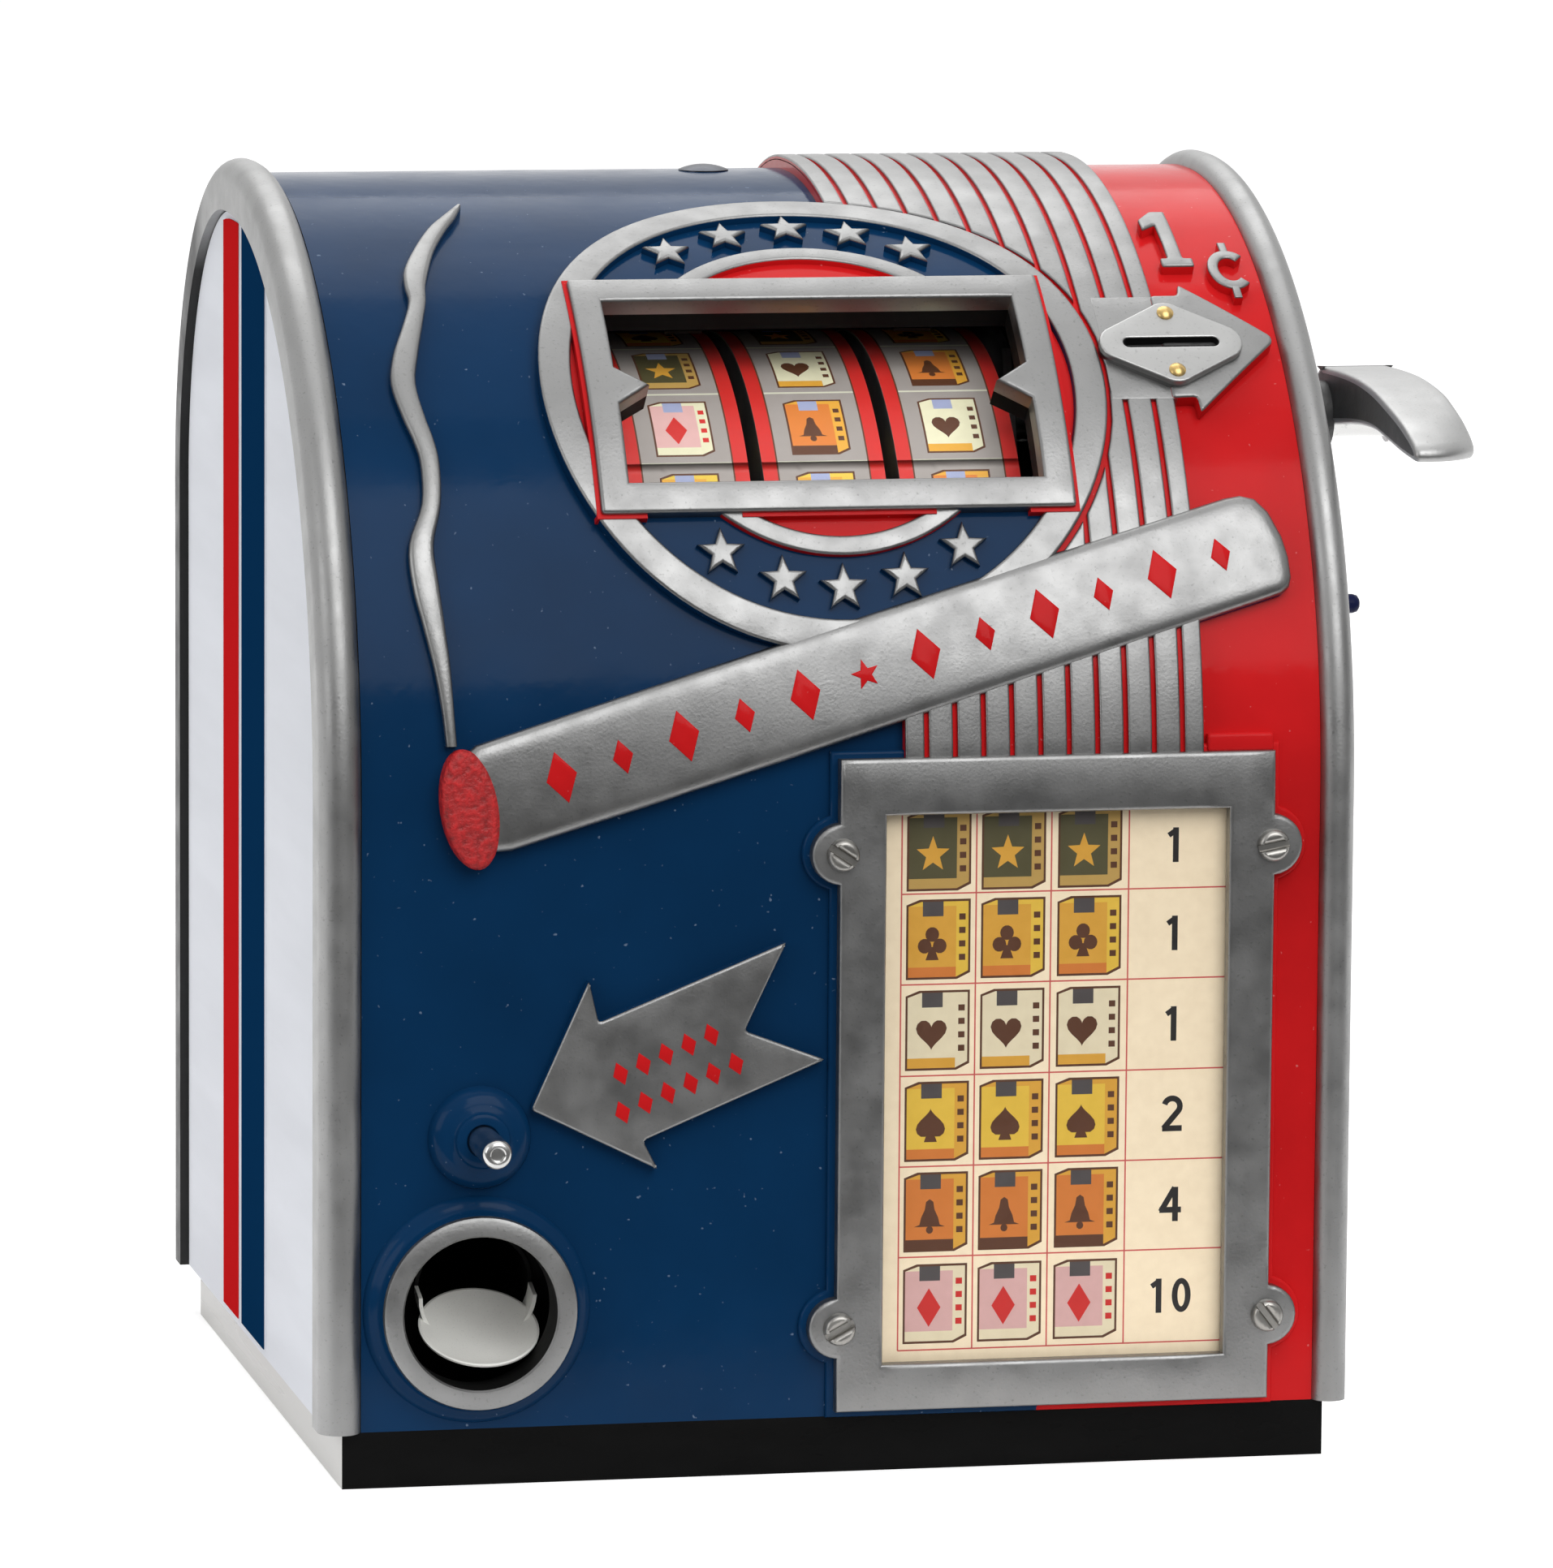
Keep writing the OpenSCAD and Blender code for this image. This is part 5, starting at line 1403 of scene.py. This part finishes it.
def plunger_coil():
    """Spring behind the plunger's collar."""
    seat = (PLUNGER[0], -86.0, PLUNGER[1])
    bm = bmesh.new()
    coil(bm, radius=4.2, wire=0.8, length=16.6, turns=7,
         lay=lambda u, v, h: (Vector(seat) + Vector((u, -h, v))) * MM)
    spring = piece("plunger_coil", bm, ["steel"], "case", ["plunger_spring"])
    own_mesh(spring)


def gum_chute(bm):
    """Adds the sloping chute behind the dish: a lip in the dish's finish, lightened as painted light, and
    dark walls, end and a flange that hides the case, all black as painted shade.
    """
    slope = math.radians(16)
    back = Vector((0, math.cos(slope), math.sin(slope)))
    up = Vector((0, -math.sin(slope), math.cos(slope)))
    mouth = Vector((-75.2, -104.0, 38.0))
    outer_r, inner_r, flange_r, hole_r = 12.6, 11.8, 26.0, 12.2
    lip, cover, end, sheet = 6, 26, 40, 0.8

    def in_chute(x, s, h):
        return (mouth + Vector((x, 0, 0)) + back * s + up * h) * MM

    def across_chute(u, v, h):
        return in_chute(u, h, v)

    # dark is the black finish, painted shade; bright is the dish's lightened finish, painted light
    bright, dark = 0, 1
    walls = (
        (bright, 180, 180, (0, lip)), (dark, 135, 270, (lip, 18, 30, end)), (dark, 45, 90, (lip, 16, cover)),
    )
    for finish, start, turn, stations in walls:
        wall = ellipse(0, 0, outer_r, count=25, start=start, sweep=turn)
        wall += ellipse(0, 0, inner_r, count=25, start=start + turn, sweep=-turn)
        sweep(bm, wall, stations, in_chute, finish)
    disc = [ellipse(0, 0, outer_r)]
    flange = [ellipse(0, 0, flange_r), turned(ellipse(0, 0, hole_r), hole=True)]
    for loops, reach in ((disc, end + 0.2), (flange, lip + 1.0)):
        plate(bm, loops, [(0, reach), (0, reach + sheet)], across_chute, None, dark, dark)


def gum_dish():
    """Dish, chute and foot behind the gum ring."""
    tilt = math.radians(61)
    out = Vector((0, -math.cos(tilt), math.sin(tilt)))
    rear = Vector((0, math.sin(tilt), math.cos(tilt)))
    middle = Vector((-75.2, -105.0, 31.6))
    bm = bmesh.new()
    bowl = [(0, -4.4), (6, -3.8), (10.2, -2.2), (12.8, -0.2), (12.8, 0.2), (12.3, 0.3), (9.8, -1.4),
            (5.8, -2.9), (0, -3.5)]
    lathe(bm, bowl, lambda u, v, h: (middle + Vector((u, 0, 0)) + rear * v + out * h) * MM, 56)
    gum_chute(bm)
    foot, foot_top = oblong(-81.5, -90, -73.5, -80), 30.5
    plate(bm, [foot], [(0, HOOD_FOOT), (0, foot_top)], lambda u, v, h: Vector((u, v, h)) * MM, None, 0, 0)
    # The dish's whitened finish is painted light; its black parts are painted shade
    piece("gum_dish", bm, ["dish", "black"], "case", ["gum_cup"])


class STIMULATOR_OT_gum(bpy.types.Operator):
    """Build the gum plunger and the dish behind the gum ring"""

    bl_idname = "stimulator.gum"
    bl_label = "Gum plunger and dish"

    def execute(self, context):
        plunger_rod()
        plunger_coil()
        gum_dish()
        return {"FINISHED"}


def lever_point(u, v, h):
    """Place at u and v from the lever's axis, at an X of h."""
    return Vector((h, LEVER_AXIS[0] + u, LEVER_AXIS[1] + v)) * MM


def lever_paddle():
    """Curved paddle with its hub; its inner face and the hub take a darker copy of the aluminium as painted
    shade.
    """
    top_line = [(4, 10.2), (-12, 10.6), (-26, 10.4), (-39, 9.2), (-50, 7.2), (-61, 4.8), (-69, 2.4),
                (-72.6, 1.0)]
    tip = [(-74.2, 0.0), (-74.9, -1.2), (-74.6, -2.2), (-73.4, -2.8)]
    low_line = [(-71.4, -2.8), (-62, -2.0), (-51, -0.6), (-40, 0.6), (-28, 0.4), (-16, -0.6), (-4, -1.8)]
    heel = ellipse(3, 4.2, 6.1, count=14, start=-90, sweep=180)
    loop = turned(dense(smooth(top_line, 5) + tip + smooth(low_line, 5) + heel, 3.0))
    width, inner, r = 15.6, 4.0, 1.3
    corner, corner_from, corner_over = 9.0, 45.0, 30.0
    steps = [(r * (1 - math.sin(a)), r * (1 - math.cos(a))) for a in np.linspace(0, math.pi / 2, 5)]
    profile = steps + [(0.0, h) for h in (inner, 6.5, 8.5, 10.5, 12.5)]
    profile += [(d, width - h) for d, h in steps[::-1]]

    def paddle(u, v, h):
        """The paddle's outer corner at its tip is cut back in a curve."""
        outer = max(0.0, (h - inner) / (width - inner))
        far = min(1.0, max(0.0, (-u - corner_from) / corner_over))
        return lever_point(u + corner * outer**2 * far, v, LEVER_X + h)

    bm = bmesh.new()
    # The inner face takes the second finish, a darker copy of the aluminium as painted shade; so does the hub
    # below
    plate(bm, [loop], profile, paddle, 3.0, 0, 0, back=1)
    hub = [(0, 112.5), (6.4, 112.5), (7.0, 113), (7.4, 114.4), (7.4, 127.4), (0, 127.6)]
    lathe(bm, hub, lever_point, 48, 1)
    piece("lever_paddle", bm, ["lever", "shade"], "lever_unit", ["lever"], sharp=50)


def return_knob():
    """Coin return knob with a thinner stem."""
    bm = bmesh.new()
    knob = [(0, 90), (1.5, 90), (1.5, 106.4), (2.1, 106.6), (2.1, 116.4), (1.8, 117.4), (1.1, 117.9),
            (0, 118)]
    lathe(bm, knob, lambda u, v, h: Vector((h, RETURN_AT[0] + u, RETURN_AT[1] + v)) * MM, 32)
    piece("return_knob", bm, ["button"], "return_button", ["coin_return_button"])


def return_coil():
    """Spring behind the coin return knob."""
    seat = (94.1, *RETURN_AT)
    bm = bmesh.new()
    coil(bm, radius=2.3, wire=0.5, length=12.0, turns=8,
         lay=lambda u, v, h: (Vector(seat) + Vector((h, u, v))) * MM)
    spring = piece("return_coil", bm, ["steel"], "case", ["button_spring"])
    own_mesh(spring)


def lever_cap():
    """Round cap on the lever's end."""
    bm = bmesh.new()
    cap = [(0, 141.0), (6.3, 141.0), (6.3, 142.6), (5.8, 143.2), (4.4, 143.7), (2.4, 143.95), (0, 144)]
    lathe(bm, cap, lever_point, 40)
    piece("lever_cap", bm, ["steel"], "lever_unit", ["lever_nut"])


class STIMULATOR_OT_lever(bpy.types.Operator):
    """Build the lever with its cap and the coin return knob"""

    bl_idname = "stimulator.lever"
    bl_label = "Lever and return knob"

    def execute(self, context):
        lever_paddle()
        return_knob()
        return_coil()
        lever_cap()
        return {"FINISHED"}


def numbered(name):
    """Names of the nodes that each of the three reels has."""
    return tuple(f"{name}_{i}" for i in range(1, len(REEL_CENTRES) + 1))


# Finishes of the solids that keep their shape
CAD_FINISHES = {
    "plinth": ("plinth",),
    "sides": ("left_side", "right_side"),
    "glass": ("window_glass", "award_glass"),
    # The glass clips are black as painted shade
    "black": ("glass_clips",),
    "door": ("rear_door", "hinge_leaf"),
    "screw": ("door_lock",),
    "dark": ("top_screw", "drive_sector", "kicker"),
    "brass": ("coin_plate_pins", "lever_bush", "kicker_pinion", "lock_plug", *numbered("index_wheel")),
    "drum": numbered("reel_drum"),
    "sheet": ("coin_chute", "gum_tube", "mech_plate_left", "mech_plate_right", "reel_spacers", "stop_spacers",
              "cash_box", *numbered("stop_arm")),
    "steel": ("case_screws", "lever_shaft", "handle_spring", "spring_post", "tie_rods", "mech_nuts",
              "mech_screws", "reel_shaft", "stop_shaft", "hinge_pin"),
}


class STIMULATOR_OT_hardware(bpy.types.Operator):
    """Give the pieces that keep their solid shape their finish"""

    bl_idname = "stimulator.hardware"
    bl_label = "Plinth, sides, door and mechanism"

    def execute(self, context):
        for finish, names in CAD_FINISHES.items():
            for node in names:
                materials = frame["nodes"][node].data.materials
                materials.clear()
                materials.append(FINISH[finish])
        for node, width in (("plinth", 0.9), ("rear_door", 0.5)):
            obj = frame["nodes"][node]
            weld = obj.modifiers.new("weld", "WELD")
            weld.merge_threshold = 0.01 * MM
            edge = obj.modifiers.new("edge", "BEVEL")
            edge.width, edge.segments = width * MM, 2
            edge.limit_method, edge.angle_limit = "ANGLE", math.radians(50)
        return {"FINISHED"}


# Studio


def seen_rays(mixer, share=None):
    """One for rays from the camera and for mirrored and refracted ones, else zero; share thins the latter."""
    rays = mixer.node("LightPath").outputs
    mirrored = mixer.math("MAXIMUM", rays["Is Glossy Ray"], rays["Is Transmission Ray"])
    if share is not None:
        mirrored = mixer.math("MULTIPLY", mirrored, share)
    return mixer.math("MAXIMUM", rays["Is Camera Ray"], mirrored)


def studio_floor(scene, glow):
    """White floor that starts just before the object and glows where it is seen."""
    far, near = 14.0, 0.24
    mesh = bpy.data.meshes.new("floor")
    mesh.from_pydata([(x, y, 0) for x, y in oblong(-far, -near, far, far)], [], [(0, 1, 2, 3)])
    floor = bpy.data.objects.new("floor", mesh)
    scene.collection.objects.link(floor)
    f = Finish("studio_floor")
    f.look("Roughness", 0.9)
    f.look("Base Color", f.mixed(f.noise(3, 2), (0.88, 0.88, 0.88), (0.90, 0.90, 0.90)))
    f.look("Emission Color", (1, 1, 1, 1))
    f.look("Emission Strength", f.ranged(seen_rays(f), 0, glow, 0, 1))
    mesh.materials.append(f.material)


def studio_world(scene, daylight):
    """White behind the object, and daylight that grows towards straight above."""
    scene.world = bpy.data.worlds.new("studio")
    scene.world.use_nodes = True
    mixer = Mixer(scene.world.node_tree)
    back = mixer.tree.nodes["Background"]
    back.inputs["Color"].default_value = (1, 1, 1, 1)
    parts = mixer.split(mixer.node("TexCoord").outputs["Generated"])
    sky = mixer.ranged(parts["Z"], 0.18, daylight, 0.0, 0.9)
    behind = mixer.ranged(parts["Y"], 0, 1, -0.1, 0.25)
    strength = mixer.node("Mix")
    for index, value in ((0, seen_rays(mixer, behind)), (2, sky), (3, 1.0)):
        mixer.put(value, strength.inputs[index])
    mixer.put(strength.outputs[0], back.inputs["Strength"])


def studio_lamps(scene):
    """Area lamps, all turned to the object's middle."""
    middle = Vector((0, 0, 0.14))
    for name, (place, power, size) in LAMPS.items():
        lamp = bpy.data.lights.new(name, "AREA")
        lamp.energy, lamp.size = power, size
        obj = bpy.data.objects.new(name, lamp)
        obj.location = place
        obj.rotation_euler = (Vector(place) - middle).to_track_quat("Z", "Y").to_euler()
        scene.collection.objects.link(obj)


def studio_camera(scene, sizes):
    """Camera on its target, from the photograph's side."""
    a, e, roll = sizes.azimuth, sizes.elevation, sizes.roll
    out = Vector((math.sin(a) * math.cos(e), -math.cos(a) * math.cos(e), math.sin(e)))
    right = Vector((math.cos(a), math.sin(a), 0))
    up = out.cross(right)
    c, s = math.cos(roll), math.sin(roll)
    level = Matrix((right * c + up * s, up * c - right * s, out))
    camera = bpy.data.cameras.new("camera")
    camera.sensor_fit, camera.sensor_width, camera.lens = "HORIZONTAL", 36.0, sizes.lens
    camera.clip_end = 60.0
    obj = bpy.data.objects.new("camera", camera)
    place = Matrix.Translation(CAMERA_TARGET + out * sizes.distance)
    obj.matrix_world = place @ level.transposed().to_4x4()
    scene.collection.objects.link(obj)
    scene.camera = obj


class STIMULATOR_OT_stage(bpy.types.Operator):
    """Set up the floor, the light and the camera"""

    bl_idname = "stimulator.stage"
    bl_label = "Stage"

    def execute(self, context):
        scene, sizes = context.scene, context.scene.stimulator_stage
        scene.view_settings.view_transform = "Standard"
        studio_floor(scene, sizes.floor_glow)
        studio_world(scene, sizes.daylight)
        studio_lamps(scene)
        studio_camera(scene, sizes)
        return {"FINISHED"}


STEPS = (
    STIMULATOR_OT_finishes, STIMULATOR_OT_shell, STIMULATOR_OT_stripes, STIMULATOR_OT_ring,
    STIMULATOR_OT_banner, STIMULATOR_OT_badges, STIMULATOR_OT_reels, STIMULATOR_OT_award,
    STIMULATOR_OT_coin_plate, STIMULATOR_OT_gum, STIMULATOR_OT_lever, STIMULATOR_OT_hardware,
    STIMULATOR_OT_stage,
)
GROUPS = {
    "stimulator_casting": CastingSizes, "stimulator_print": PrintSizes, "stimulator_finishes": Finishes,
    "stimulator_stage": StageSizes,
}


class STIMULATOR_PT_sidebar(bpy.types.Panel):
    """Lists the sizes, the colours and the building steps"""

    bl_idname = "STIMULATOR_PT_sidebar"
    bl_label = "Trade stimulator"
    bl_space_type = "VIEW_3D"
    bl_region_type = "UI"
    bl_category = "Stimulator"

    def draw(self, context):
        for key, group in GROUPS.items():
            box = self.layout.box()
            for name in group.__annotations__:
                box.prop(getattr(context.scene, key), name)
        for step in STEPS:
            self.layout.operator(step.bl_idname)


def register():
    """Registers the classes and hangs the sizes on the scene."""
    for cls in (*GROUPS.values(), *STEPS, STIMULATOR_PT_sidebar):
        bpy.utils.register_class(cls)
    for key, group in GROUPS.items():
        setattr(bpy.types.Scene, key, PointerProperty(type=group))


def unregister():
    """Takes the sizes and the classes away again."""
    for key in GROUPS:
        delattr(bpy.types.Scene, key)
    for cls in (STIMULATOR_PT_sidebar, *reversed(STEPS), *GROUPS.values()):
        bpy.utils.unregister_class(cls)


def main():
    """Builds the pieces in order."""
    register()
    for step in STEPS:
        group, name = step.bl_idname.split(".")
        getattr(getattr(bpy.ops, group), name)()


if __name__ == "__main__":
    main()
